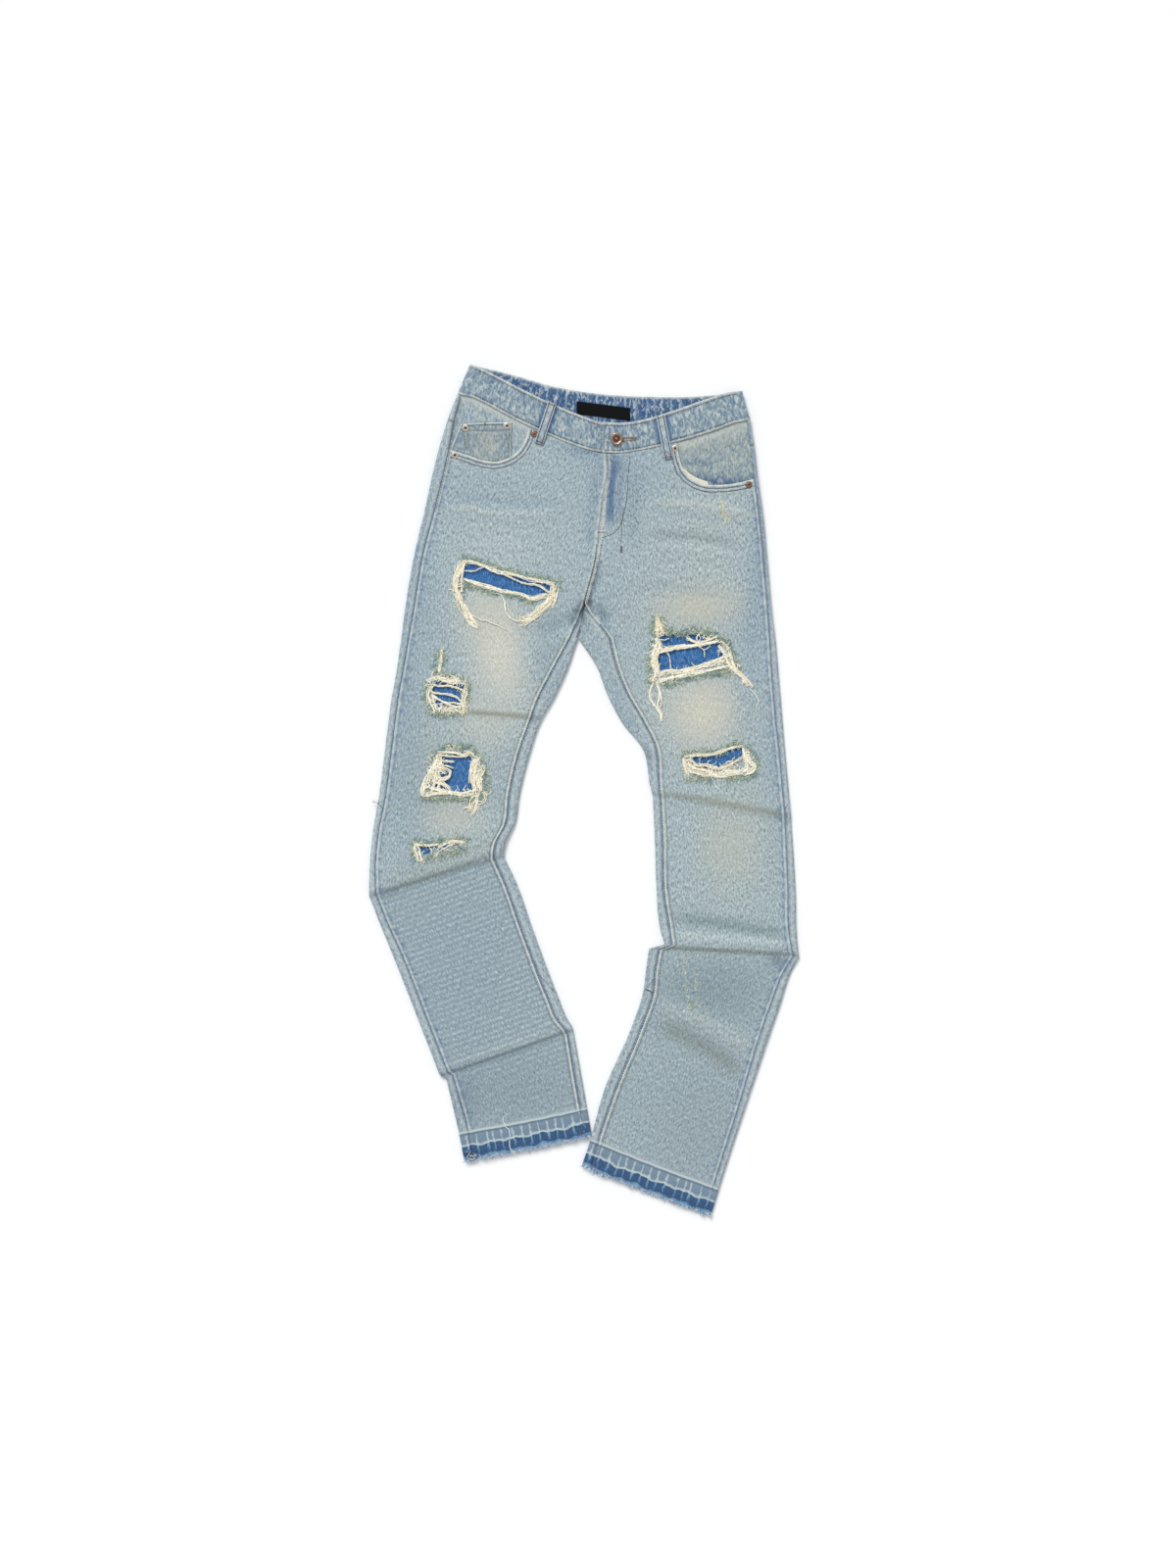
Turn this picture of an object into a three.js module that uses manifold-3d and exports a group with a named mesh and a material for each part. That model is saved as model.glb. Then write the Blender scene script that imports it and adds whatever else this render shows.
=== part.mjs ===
// Ripped five-pocket jeans lying flat, front up, on a level surface.
// Millimetres. +X is the wearer's left, +Y the waist, +Z up from the surface they lie on.
// Each cut piece of cloth is a thin wall: a sheet of points and normals, thickened both ways.
import * as THREE from "three";
import { mergeVertices } from "three/addons/utils/BufferGeometryUtils.js";
import Module from "manifold-3d";

const wasm = await Module();
wasm.setup();

// ---- driving dimensions -------------------------------------------------
const DENIM = 1.2; // one layer of denim
const SEAM_GAP = 0.4; // between two pieces that are sewn edge to edge
const BAND_GAP = 1; // between the waistband's foot and the panels below it
const CLEAR = 0.5; // between two pieces that lie on each other
const LAY = 5; // height of the front cloth's middle surface on the legs
const SEAT_LIFT = 1.5; // it stands this much higher over the seat's pockets
const WAIST_LIFT = 2.3; // and this much more at the waist, over facings and band
const BAND = 2.4; // waistband, two layers and their turnings
const LOOP = 1.8; // folded belt loop
const LOOP_WIDTH = 12;
const PATCH = 1.0; // denim backing behind a rip
const POCKET = 1.2;
const LABEL = 0.6;
const BUTTON_RADIUS = 8.5;
const RIVET_RADIUS = 4.6;
const ROW_LENGTH = 42; // longest step along a leg
const FOLD_ROW = 5; // rows this far each side of a sharp fold
const UNDER_BAND = 9; // panels reach this far under the waistband before they are cut off
const FRONT_COLUMNS = 5;
const BOTTOM_COLUMNS = 4;
const ROLL_STEPS = 3;
const BACK_RISE = 40; // the back waist seam stands this much above the front's at the centre
const CROTCH = 5; // station where the four panels meet
const NOTCH = 6; // station where the two legs part

// Stations down each leg, waist to hem: outer edge x, y; inner edge x, y; how far the back
// panel shows past its outer and its inner seam; 1 where a fold breaks the outline.
const RIGHT_LEG = [
  [-168, 524, 30, 445, 5, 0],
  [-181, 489, 31, 421, 9, 0],
  [-194, 446, 27, 398, 14, 0],
  [-212, 367, 20, 346, 13, 0],
  [-225, 312, 17, 312, 12, 0],
  [-238, 234, 1, 248, 12, 0],
  [-243, 196, -8, 202, 10, 10],
  [-248, 161, -22, 161, 9, 18],
  [-255, 122, -40, 122, 9, 20],
  [-259, 92, -57, 92, 9, 14],
  [-265, 44, -74, 42, 9, 14],
  [-272, -10, -86, -8, 9, 13],
  [-280, -57, -91, -42, 8, 12],
  [-284, -101, -105, -73, 8, 13],
  [-285, -140, -107, -87, 10, 13, 1],
  [-274, -169, -92, -118, 10, 14],
  [-254, -218, -68, -185, 12, 14],
  [-217, -312, -35, -273, 12, 13],
  [-198, -361, -23, -302, 12, 12],
  [-192, -377, -16, -313, 12, 10, 1],
  [-183, -382, -14, -321, 10, 8, 1],
  [-165, -460, 4, -424, 13, 8],
  [-159, -491, 10, -458, 12, 7],
];
const LEFT_LEG = [
  [220, 489, 30, 445, 5, 0],
  [225, 456, 31, 421, 5, 0],
  [229, 421, 27, 398, 5, 0],
  [238, 356, 20, 346, 5, 0],
  [242, 312, 17, 312, 5, 0],
  [249, 234, 1, 248, 6, 0],
  [254, 195, -8, 202, 8, 42],
  [257, 159, 18, 161, 9, 26],
  [260, 124, 29, 131, 9, 27],
  [263, 88, 49, 92, 9, 29],
  [266, 53, 79, 52, 8, 17],
  [270, 8, 87, 8, 8, 12],
  [274, -36, 91, -8, 8, 10, 1],
  [277, -83, 94, -73, 9, 10],
  [280, -135, 96, -130, 10, 9],
  [281, -185, 101, -185, 10, 12],
  [283, -213, 107, -205, 8, 9, 1],
  [285, -221, 86, -211, 8, 13, 1],
  [272, -246, 82, -239, 10, 12],
  [260, -283, 78, -269, 12, 13],
  [244, -329, 64, -312, 12, 12],
  [214, -419, 26, -400, 9, 14],
  [176, -537, 8, -465, 8, 10],
  [168, -564, -3, -498, 8, 13],
];
const WAIST_SAG = [6.5, 5, 4, 2.5, 1]; // how far the first rows dip between side and centre

// Folds across the cloth: from, to; height above the line and how far that fades upwards;
// depth below it and how far that fades downwards.
const FOLDS = [
  { from: [-292, -142], to: [-98, -84], rise: 5, up: 45, drop: 1, down: 40 },
  { from: [-200, -382], to: [-8, -315], rise: 3.2, up: 60, drop: 0.9, down: 35 },
  { from: [-160, 103], to: [-58, 94], rise: 1.4, up: 20, drop: 0.7, down: 25 },
  { from: [84, -4], to: [280, -38], rise: 2.6, up: 26, drop: 0.8, down: 30 },
  { from: [82, -208], to: [290, -219], rise: 3.2, up: 30, drop: 1, down: 30 },
];
// Soft swells and hollows: centre, half-width, half-length, height.
const SWELLS = [
  [-150, 200, 80, 120, 2.2],
  [150, 150, 80, 110, 2],
  [170, -110, 70, 60, 1.4],
  [-120, -230, 60, 60, 1],
  [170, -330, 60, 80, 1.2],
  [0, 215, 45, 40, -0.9],
];
const FOLD_TURN = 3; // half-width of a fold's steep side

// ---- the form of the cloth ----------------------------------------------
const mix = (a, b, s) => a + (b - a) * s;
const mixPoint = (a, b, s) => a.map((v, i) => mix(v, b[i], s));
const smooth = (low, high, x) => {
  const s = Math.min(1, Math.max(0, (x - low) / (high - low)));
  return s * s * (3 - 2 * s);
};

function foldHeight({ from, to, rise, up, drop, down }, x, y) {
  const length = Math.hypot(to[0] - from[0], to[1] - from[1]);
  const along = [(to[0] - from[0]) / length, (to[1] - from[1]) / length];
  const q = ((x - from[0]) * along[0] + (y - from[1]) * along[1]) / length;
  const d = (y - from[1]) * along[0] - (x - from[0]) * along[1];
  const step = 0.5 * (1 + Math.tanh(d / FOLD_TURN));
  const above = rise * Math.exp(-Math.max(d, 0) / up);
  const below = drop * Math.exp(Math.min(d, 0) / down);
  const within = smooth(-0.06, 0.06, q) * (1 - smooth(0.94, 1.06, q));
  return within * (step * above - (1 - step) * below);
}

// Height of the middle surface of the front cloth over a point.
function topHeight(x, y) {
  let z = LAY + SEAT_LIFT * smooth(190, 250, y) + WAIST_LIFT * smooth(330, 430, y);
  for (const fold of FOLDS) z += foldHeight(fold, x, y);
  for (const [cx, cy, hx, hy, h] of SWELLS) {
    z += h * Math.exp(-(((x - cx) / hx) ** 2) - ((y - cy) / hy) ** 2);
  }
  return z;
}

// Height of the middle surface of the back cloth: it lies on its pockets and belt loops.
const POCKET_LIFT = POCKET + 0.3;
const LOOP_LIFT = LOOP + 0.3 - POCKET_LIFT;
const seatLift = (y) => POCKET_LIFT * smooth(190, 225, y) + LOOP_LIFT * smooth(425, 455, y);
const bottomHeight = (y) => DENIM / 2 + seatLift(y);

// A point on the front cloth with its normal, moved out by lift along that normal.
function onTop(x, y, lift = 0) {
  const h = 0.5;
  const n = new THREE.Vector3(
    (topHeight(x - h, y) - topHeight(x + h, y)) / (2 * h),
    (topHeight(x, y - h) - topHeight(x, y + h)) / (2 * h),
    1,
  ).normalize();
  return { p: [x + n.x * lift, y + n.y * lift, topHeight(x, y) + n.z * lift], n: n.toArray() };
}

// ---- sheets and walls -----------------------------------------------------
// A sheet is a set of points with normals and the quads between them. Grids that share
// points join into one sheet.
class Sheet {
  constructor() {
    this.points = [];
    this.faces = [];
    this.keys = new Map();
  }
  vertex({ p, n }) {
    const key = p.map((v) => Math.round(v * 50)).join();
    if (!this.keys.has(key)) {
      this.keys.set(key, this.points.length);
      this.points.push({ p, n: new THREE.Vector3(...n) });
    } else {
      this.points[this.keys.get(key)].n.add(new THREE.Vector3(...n));
    }
    return this.keys.get(key);
  }
  grid(rows) {
    const ids = rows.map((row) => row.map((v) => this.vertex(v)));
    for (let i = 0; i + 1 < ids.length; i++) {
      for (let j = 0; j + 1 < ids[i].length; j++) {
        const [a, b, c, d] = [ids[i][j], ids[i][j + 1], ids[i + 1][j + 1], ids[i + 1][j]];
        for (const face of [[a, b, c], [a, c, d]]) {
          if (new Set(face).size === 3) this.faces.push(face);
        }
      }
    }
    return this;
  }
  // The closed wall of this thickness, as a manifold solid.
  wall(thickness) {
    const count = this.points.length;
    const vertices = new Float32Array(count * 6);
    this.points.forEach(({ p, n }, i) => {
      const out = n.clone().normalize().multiplyScalar(thickness / 2);
      vertices.set([p[0] + out.x, p[1] + out.y, p[2] + out.z], i * 3);
      vertices.set([p[0] - out.x, p[1] - out.y, p[2] - out.z], (count + i) * 3);
    });
    const edges = new Map();
    const triangles = [];
    for (const [a, b, c] of this.faces) {
      triangles.push([a, b, c], [count + a, count + c, count + b]);
      for (const [s, e] of [[a, b], [b, c], [c, a]]) edges.set(`${s},${e}`, [s, e]);
    }
    for (const [s, e] of edges.values()) {
      if (edges.has(`${e},${s}`)) continue;
      triangles.push([e, s, count + s], [e, count + s, count + e]);
    }
    if (volumeOf(vertices, triangles) < 0) triangles.forEach((t) => t.reverse());
    return solidFrom(vertices, triangles.flat());
  }
}

function volumeOf(v, triangles) {
  let six = 0;
  for (const [a, b, c] of triangles) {
    const [p, q, r] = [a, b, c].map((i) => new THREE.Vector3(v[3 * i], v[3 * i + 1], v[3 * i + 2]));
    six += p.dot(q.cross(r));
  }
  return six;
}

const solidFrom = (vertices, triangles) =>
  new wasm.Manifold(
    new wasm.Mesh({
      numProp: 3,
      vertProperties: Float32Array.from(vertices),
      triVerts: Uint32Array.from(triangles),
    }),
  );

function solidOf(geometry) {
  const bare = new THREE.BufferGeometry();
  const source = geometry.index ? geometry.toNonIndexed() : geometry;
  bare.setAttribute("position", source.getAttribute("position"));
  const merged = mergeVertices(bare, 1e-3);
  return solidFrom(merged.attributes.position.array, merged.index.array);
}

function geometryOf(solid) {
  const { numProp, vertProperties, triVerts } = solid.getMesh();
  const corners = new Float32Array(triVerts.length * 3);
  triVerts.forEach((v, i) => {
    corners.set(vertProperties.subarray(v * numProp, v * numProp + 3), i * 3);
  });
  const geometry = new THREE.BufferGeometry();
  geometry.setAttribute("position", new THREE.BufferAttribute(corners, 3));
  geometry.computeVertexNormals();
  return geometry;
}

// A vertical prism over an outline of [x, y] points, between two heights.
function prism(outline, low = -30, high = 50) {
  const shape = new THREE.Shape(outline.map(([x, y]) => new THREE.Vector2(x, y)));
  const geometry = new THREE.ExtrudeGeometry(shape, { depth: high - low, bevelEnabled: false });
  return solidOf(geometry.translate(0, 0, low));
}

// ---- legs -------------------------------------------------------------------
// Distances down a leg's outer and inner edges at its stations, for even tangents between
// uneven rows. Above the notch both legs share the inner edge, which is the centre seam.
function knotsOf(leg) {
  const knots = { outer: [0], inner: [0] };
  for (let i = 1; i < leg.length; i++) {
    const [a, b] = [leg[i - 1], leg[i]];
    knots.outer.push(knots.outer[i - 1] + Math.hypot(b[0] - a[0], b[1] - a[1]));
    knots.inner.push(knots.inner[i - 1] + Math.hypot(b[2] - a[2], b[3] - a[3]));
  }
  return knots;
}

// The station values at t, a whole number on a station, by a cubic through them that
// turns sharply at a fold and at the notch.
function stationAt(leg, knots, t) {
  const k = Math.min(leg.length - 2, Math.floor(t));
  const s = t - k;
  const sharp = (i) => i === 0 || i === leg.length - 1 || i === NOTCH || leg[i][6];
  const [h00, h01] = [(1 + 2 * s) * (1 - s) ** 2, s * s * (3 - 2 * s)];
  const [h10, h11] = [s * (1 - s) ** 2, s * s * (s - 1)];
  return ["outer", "outer", "inner", "inner", "outer", "inner"].map((edge, c) => {
    const span = (i) => knots[edge][i + 1] - knots[edge][i];
    const slope = (i) => (leg[i + 1][c] - leg[i][c]) / span(i);
    const tangent = (i) => {
      if (sharp(i)) return slope(k);
      const [before, after] = [span(i - 1), span(i)];
      return (slope(i - 1) * after + slope(i) * before) / (before + after);
    };
    const turns = (h10 * tangent(k) + h11 * tangent(k + 1)) * span(k);
    return h00 * leg[k][c] + h01 * leg[k + 1][c] + turns;
  });
}

// The t of each row from one station to another, closer together beside a sharp fold.
function rowsBetween(leg, knots, first, last) {
  const rows = new Set();
  for (let k = first; k < last; k++) {
    const span = knots.outer[k + 1] - knots.outer[k];
    const parts = k < NOTCH ? 2 : Math.ceil(span / ROW_LENGTH);
    for (let i = 0; i <= parts; i++) rows.add(k + i / parts);
    if (span < 3 * FOLD_ROW) continue;
    if (leg[k][6]) rows.add(k + FOLD_ROW / span);
    if (leg[k + 1][6]) rows.add(k + 1 - FOLD_ROW / span);
  }
  return [...rows].sort((a, b) => a - b);
}

// One row across a leg: its ends, its direction and its seams.
function rowAt(leg, knots, t) {
  const [ox, oy, ix, iy, wrapOuter, wrap] = stationAt(leg, knots, t);
  const wrapInner = t > CROTCH ? wrap : 0;
  const width = Math.hypot(ix - ox, iy - oy);
  const dir = [(ix - ox) / width, (iy - oy) / width];
  const at = (d) => [ox + dir[0] * d, oy + dir[1] * d];
  return { t, width, dir, at, wrapOuter, wrapInner };
}

// The first rows sag between the side and the centre.
function sagOf(t) {
  const k = Math.min(WAIST_SAG.length - 1, Math.floor(t));
  const next = Math.min(WAIST_SAG.length - 1, k + 1);
  return mix(WAIST_SAG[k], WAIST_SAG[next], Math.min(1, t - k));
}

function frontRow(row) {
  const [start, end] = [row.wrapOuter + SEAM_GAP / 2, row.width - row.wrapInner - SEAM_GAP / 2];
  return Array.from({ length: FRONT_COLUMNS + 1 }, (_, j) => {
    const u = j / FRONT_COLUMNS;
    const [x, y] = row.at(mix(start, end, u));
    return onTop(x, y - sagOf(row.t) * 4 * u * (1 - u));
  });
}

// Where the cloth's turn at an edge is centred, and its radius. side is -1 at the outer edge
// and 1 at the inner edge.
function turnOf(row, side) {
  const edge = side < 0 ? 0 : row.width;
  const [x, y] = row.at(edge - side * 4);
  const low = bottomHeight(y);
  const radius = (topHeight(x, y) - low) / 2;
  return { low, radius, centre: edge - side * (radius + DENIM / 2) };
}

// The cloth's turn at an edge of the leg, from the top to the underside.
function roll(row, side) {
  const { low, radius, centre } = turnOf(row, side);
  return Array.from({ length: ROLL_STEPS + 1 }, (_, i) => {
    const angle = (Math.PI * i) / ROLL_STEPS;
    const [out, up] = [side * Math.sin(angle), Math.cos(angle)];
    const [x, y] = row.at(centre + out * radius);
    return { p: [x, y, low + radius * (1 + up)], n: [row.dir[0] * out, row.dir[1] * out, up] };
  });
}

// The underside between its two ends, without them.
const underside = (start, end) =>
  Array.from({ length: BOTTOM_COLUMNS - 1 }, (_, j) => {
    const [x, y] = mixPoint(start, end, (j + 1) / BOTTOM_COLUMNS);
    return { p: [x, y, bottomHeight(y)], n: [0, 0, -1] };
  });

// A row of the back panel: from the side seam on top, round the outer edge and along the
// underside to the centre-back seam, or round the inner edge to the inseam on top.
function backRow(row) {
  const seam = onTop(...row.at(row.wrapOuter - SEAM_GAP / 2));
  const outer = roll(row, -1);
  const from = outer.at(-1).p;
  if (row.t < NOTCH) {
    const [x, y] = row.at(row.width - SEAM_GAP / 2);
    const end = [x, y + BACK_RISE * (1 - smooth(0, 1, row.t))];
    const last = { p: [...end, bottomHeight(end[1])], n: [0, 0, -1] };
    return [seam, ...outer, ...underside(from, end), last];
  }
  const inner = roll(row, 1).reverse();
  const start = turnOf(row, 1).centre;
  const strip = [0.5, 1].map((s) => onTop(...row.at(mix(start, inseamOf(row), s))));
  return [seam, ...outer, ...underside(from, inner[0].p), ...inner, ...strip];
}

const inseamOf = (row) => row.width - row.wrapInner + SEAM_GAP / 2;

// The back panel between the crotch and the notch, seen on the front.
const gussetRow = (row) =>
  [0, 0.5, 1].map((s) => onTop(...row.at(mix(row.width - SEAM_GAP / 2, inseamOf(row), s))));

const mixRows = (a, b, s) => a.map(({ p, n }, i) => ({ p: mixPoint(p, b[i].p, s), n }));

function legPanels(leg) {
  const knots = knotsOf(leg);
  const last = leg.length - 1;
  const row = (t) => rowAt(leg, knots, t);
  const raised = (points) => points.map(({ p, n }) => ({ p: [p[0], p[1] + UNDER_BAND, p[2]], n }));

  const frontRows = rowsBetween(leg, knots, 0, last).map((t) => frontRow(row(t)));
  const front = new Sheet().grid([raised(frontRows[0]), ...frontRows]);

  const below = rowsBetween(leg, knots, NOTCH, last).map((t) => backRow(row(t)));
  const above = rowsBetween(leg, knots, 1, NOTCH).filter((t) => t < NOTCH);
  const seat = above.map((t) => backRow(row(t)));
  const back = new Sheet().grid(below).grid([...seat, below[0].slice(0, seat[0].length)]);
  const middle = gussetRow(row((CROTCH + NOTCH) / 2));
  back.grid([mixRows(gussetRow(row(CROTCH)), middle, 0.25), middle, below[0].slice(-3)]);

  const yokeEnd = 1 - SEAM_GAP / (knots.outer[1] - knots.outer[0]);
  const yokeRows = [0, 0.5, yokeEnd].map((t) => backRow(row(t)));
  const yoke = new Sheet().grid([raised(yokeRows[0]), ...yokeRows]);
  return { front, back, yoke };
}

// ---- rips and pocket mouths -------------------------------------------------------
const RIPS = {
  right_thigh: [
    [-159, 299], [-125, 294], [-86, 283], [-40, 269], [-53, 259], [-86, 263], [-125, 271], [-159, 280],
  ],
  right_upper_knee: [[-202, 135], [-186, 140], [-165, 131], [-157, 121], [-165, 109], [-195, 113]],
  right_knee: [[-180, 50], [-146, 45], [-148, -2], [-177, -1], [-198, 8], [-192, 29]],
  right_shin: [[-217, -74], [-190, -74], [-164, -66], [-159, -73], [-190, -84], [-214, -87]],
  left_thigh: [[99, 205], [135, 209], [178, 200], [187, 177], [184, 166], [151, 160], [101, 152], [95, 179]],
  left_knee: [[142, 49], [174, 53], [211, 56], [212, 46], [194, 34], [164, 29], [147, 38]],
};
// Backing denim behind each rip: low x, low y, high x, high y.
const PATCHES = {
  right_thigh: [-178, 242, -26, 318],
  right_upper_knee: [-216, 96, -142, 156],
  right_knee: [-212, -18, -130, 66],
  right_shin: [-232, -94, -150, -54],
  left_thigh: [84, 136, 204, 226],
  left_knee: [130, 14, 226, 68],
};
const ABOVE = 600; // higher than the waist
const RIGHT_MOUTH = [
  [-230, 466], [-178, 450], [-156, 443], [-134, 436], [-117, 434], [-102, 438], [-89, 446], [-78, 462],
  [-73, 478],
];
const LEFT_MOUTH = [
  [122, 470], [123, 452], [126, 438], [132, 422], [143, 411], [159, 404], [177, 403], [200, 405],
  [226, 411], [260, 418],
];

function curveThrough(points) {
  const vectors = points.map(([x, y]) => new THREE.Vector3(x, y, 0));
  const curve = new THREE.CatmullRomCurve3(vectors, false, "centripetal");
  return (s) => {
    const { x, y } = curve.getPoint(s);
    return [x, y];
  };
}

// The cloth that is cut away above a pocket mouth, out to the side seam and up to the band.
function mouthPrism(mouth) {
  const curve = curveThrough(mouth);
  const edge = Array.from({ length: 17 }, (_, i) => curve(i / 16));
  return prism([...edge, [mouth.at(-1)[0], ABOVE], [mouth[0][0], ABOVE]]);
}

// ---- smaller pieces --------------------------------------------------------------
const gridOf = (rows, columns, at) =>
  Array.from({ length: rows + 1 }, (_, i) =>
    Array.from({ length: columns + 1 }, (_, j) => at(i / rows, j / columns)),
  );

// A four-sided piece on the front cloth between two curves of [x, y], lifted off it.
const onFront = (rows, columns, upper, lower, lift) =>
  new Sheet().grid(gridOf(rows, columns, (v, u) => onTop(...mixPoint(upper(u), lower(u), v), lift)));

const line = (a, b) => (s) => mixPoint(a, b, s);

function patch(name) {
  const [x0, y0, x1, y1] = PATCHES[name];
  const lift = -(DENIM / 2 + CLEAR + 0.4 + PATCH / 2);
  return onFront(3, 4, line([x0, y1], [x1, y1]), line([x0, y0], [x1, y0]), lift).wall(PATCH);
}

// The waistband is one ribbon round the waist, folded flat. Each column is its top edge x, y
// and its foot x, y, from the wearer's right side to the left.
const BAND_FRONT = [
  [-151, 564, -168, 525],
  [-136, 558, -150, 520],
  [-114, 547, -128, 510],
  [-81, 530, -91, 490],
  [-48, 514, -50, 471],
  [-5, 496, -7, 454],
  [8, 491, 6, 450],
  [24, 487, 24, 446],
  [52, 486, 52, 446],
  [78, 490, 82, 451],
  [118, 502, 124, 461],
  [164, 518, 171, 475],
  [195, 527, 205, 487],
  [209, 529, 220, 490],
];
const OVERLAP = 7; // the front column where the buttoned end starts
const BAND_BACK = [
  [-136, 560, -150, 521],
  [-92, 549, -104, 510],
  [-42, 535, -50, 495],
  [18, 525, 16, 486],
  [83, 521, 83, 481],
  [140, 521, 146, 481],
  [195, 526, 205, 487],
];
const UNDERLAP = [
  [58, 484, 58, 447],
  [40, 484, 40, 447],
  [24, 486, 24, 447],
];
const BAND_LIFT = (BAND - DENIM) / 2; // its middle surface over the cloth's
const BAND_LOW = LOOP + 0.3 + BAND / 2; // height of its middle surface at the back

const acrossBand = (column) =>
  [0, 0.5, 1].map((v) => mixPoint(column.slice(0, 2), column.slice(2), v));
const frontBand = (column, lift) =>
  acrossBand(column).map(([x, y]) => {
    const { p, n } = onTop(x, y);
    return { p: [x, y, p[2] + lift], n };
  });
const backBand = (column) =>
  acrossBand(column).map(([x, y]) => ({ p: [x, y, BAND_LOW], n: [0, 0, -1] }));

// The band's turn round a side, from the front down to the back. side is -1 at the right.
function bandTurn(column, side) {
  const [topX, topY, footX, footY] = column;
  const length = Math.hypot(topX - footX, topY - footY);
  const out = [(side * (topY - footY)) / length, (-side * (topX - footX)) / length];
  return [0, 1, 2, 3, 4].map((i) => {
    const [across, up] = [Math.sin((Math.PI * i) / 4), Math.cos((Math.PI * i) / 4)];
    return acrossBand(column).map(([x, y]) => {
      const radius = (topHeight(x, y) + BAND_LIFT - BAND_LOW) / 2;
      const d = across * radius - radius - BAND / 2;
      const p = [x + out[0] * d, y + out[1] * d, BAND_LOW + radius * (1 + up)];
      return { p, n: [out[0] * across, out[1] * across, up] };
    });
  });
}

function waistband() {
  const front = BAND_FRONT.slice(1, -1).map((column) => frontBand(column, BAND_LIFT));
  const columns = [
    ...UNDERLAP.map((column) => frontBand(column, BAND_LIFT - BAND - 0.3)),
    ...front.slice(0, OVERLAP - 1).reverse(),
    ...bandTurn(BAND_FRONT[0], -1),
    ...BAND_BACK.map(backBand),
    ...bandTurn(BAND_FRONT.at(-1), 1).reverse(),
    ...front.slice(OVERLAP - 1).reverse(),
  ];
  return new Sheet().grid(columns).wall(BAND);
}

// What the band covers, for cutting off the panels at its foot: on the front and at the back.
function underBand(columns, low, high) {
  const feet = columns.map(([, , x, y]) => [x, y - BAND_GAP]);
  const [first, last] = [feet[0], feet.at(-1)];
  const ends = [[last[0] + 30, last[1] + 6], [last[0] + 30, ABOVE], [first[0] - 36, ABOVE]];
  return prism([...feet, ...ends, [first[0] - 36, first[1] + 10]], low, high);
}
const BETWEEN_LAYERS = 6; // a height between the back cloth and the front cloth at the waist
const bandOnFront = underBand(BAND_FRONT, BETWEEN_LAYERS, 50);
const bandAtBack = underBand([BAND_FRONT[0], ...BAND_BACK, BAND_FRONT.at(-1)], -1, BETWEEN_LAYERS);

// A belt loop on the front: over the band, then down to the cloth below it.
function frontLoop(top, foot) {
  const length = Math.hypot(foot[0] - top[0], foot[1] - top[1]);
  const half = LOOP_WIDTH / 2 / length;
  const across = [(top[1] - foot[1]) * half, (foot[0] - top[0]) * half];
  const overBand = BAND - DENIM / 2 + CLEAR + 0.3 + LOOP / 2;
  const onCloth = DENIM / 2 + CLEAR + LOOP / 2;
  const rows = gridOf(8, 1, (v, u) => {
    const [x, y] = mixPoint(top, foot, v);
    const side = 2 * u - 1;
    const lift = mix(overBand, onCloth, smooth(0.78, 1, v));
    return onTop(x + side * across[0], y + side * across[1], lift);
  });
  return new Sheet().grid(rows).wall(LOOP);
}

// A flat piece on the surface the garment lies on.
function flatPiece(outline, thickness) {
  const shape = new THREE.Shape(outline.map(([x, y]) => new THREE.Vector2(x, y)));
  return new THREE.ExtrudeGeometry(shape, { depth: thickness, bevelEnabled: false });
}

function backLoop([topX, topY], [footX, footY]) {
  const half = LOOP_WIDTH / 2;
  const foot = [[footX - half, footY], [footX + half, footY]];
  return flatPiece([...foot, [topX + half, topY], [topX - half, topY]], LOOP);
}

// A patch pocket with a pointed foot, under the seat.
const SEAT_POCKET = [[-64, 70], [-60, -40], [0, -72], [60, -40], [64, 70]];
const seatPocket = (x, y, turn) => flatPiece(SEAT_POCKET, POCKET).rotateZ(turn).translate(x, y, 0);

// A turned metal piece: its profile of [radius, height] closes on its own axis.
const turned = (profile) =>
  new THREE.LatheGeometry(profile.map(([r, z]) => new THREE.Vector2(r, z)), 16).rotateX(Math.PI / 2);
const BUTTON_PROFILE = [
  [0, 0], [3.2, 0], [3, 1.4], [7.6, 1.6], [BUTTON_RADIUS, 2.4], [BUTTON_RADIUS - 0.4, 3.4],
  [6, 3.6], [5.6, 3.1], [2, 3.1], [1.4, 3.9], [0, 4],
];
const RIVET_PROFILE = [
  [0, 0], [RIVET_RADIUS, 0], [RIVET_RADIUS - 0.2, 0.6], [3, 1], [2.2, 0.8], [1.2, 1.5], [0, 1.6],
];

// ---- assembly ------------------------------------------------------------------
const MATERIALS = {
  denim: ["#a7b7bb", 0.9, 0],
  seat_denim: ["#8ea0ad", 0.9, 0],
  patch_denim: ["#2f5f9f", 0.92, 0],
  label: ["#1c2026", 0.8, 0],
  lining: ["#e6e1cf", 0.95, 0],
  copper: ["#a8795f", 0.4, 1],
};

const jeans = new THREE.Group();
function add(name, shape, material, position = [0, 0, 0]) {
  const [color, roughness, metalness] = MATERIALS[material];
  const finish = new THREE.MeshStandardMaterial({ name: material, color, roughness, metalness });
  const mesh = new THREE.Mesh(shape.isBufferGeometry ? shape : geometryOf(shape), finish);
  mesh.name = name;
  mesh.position.set(...position);
  jeans.add(mesh);
}

const right = legPanels(RIGHT_LEG);
const left = legPanels(LEFT_LEG);

const cutFront = (sheet, mouth, rips) =>
  [bandOnFront, mouthPrism(mouth), ...rips.map((name) => prism(RIPS[name]))].reduce(
    (solid, tool) => solid.subtract(tool),
    sheet.wall(DENIM),
  );
const ripsOf = (side) => Object.keys(RIPS).filter((name) => name.startsWith(side));
add("front_right", cutFront(right.front, RIGHT_MOUTH, ripsOf("right")), "denim");
add("front_left", cutFront(left.front, LEFT_MOUTH, ripsOf("left")), "denim");
for (const name of Object.keys(RIPS)) add("patch_" + name, patch(name), "patch_denim");

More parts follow.
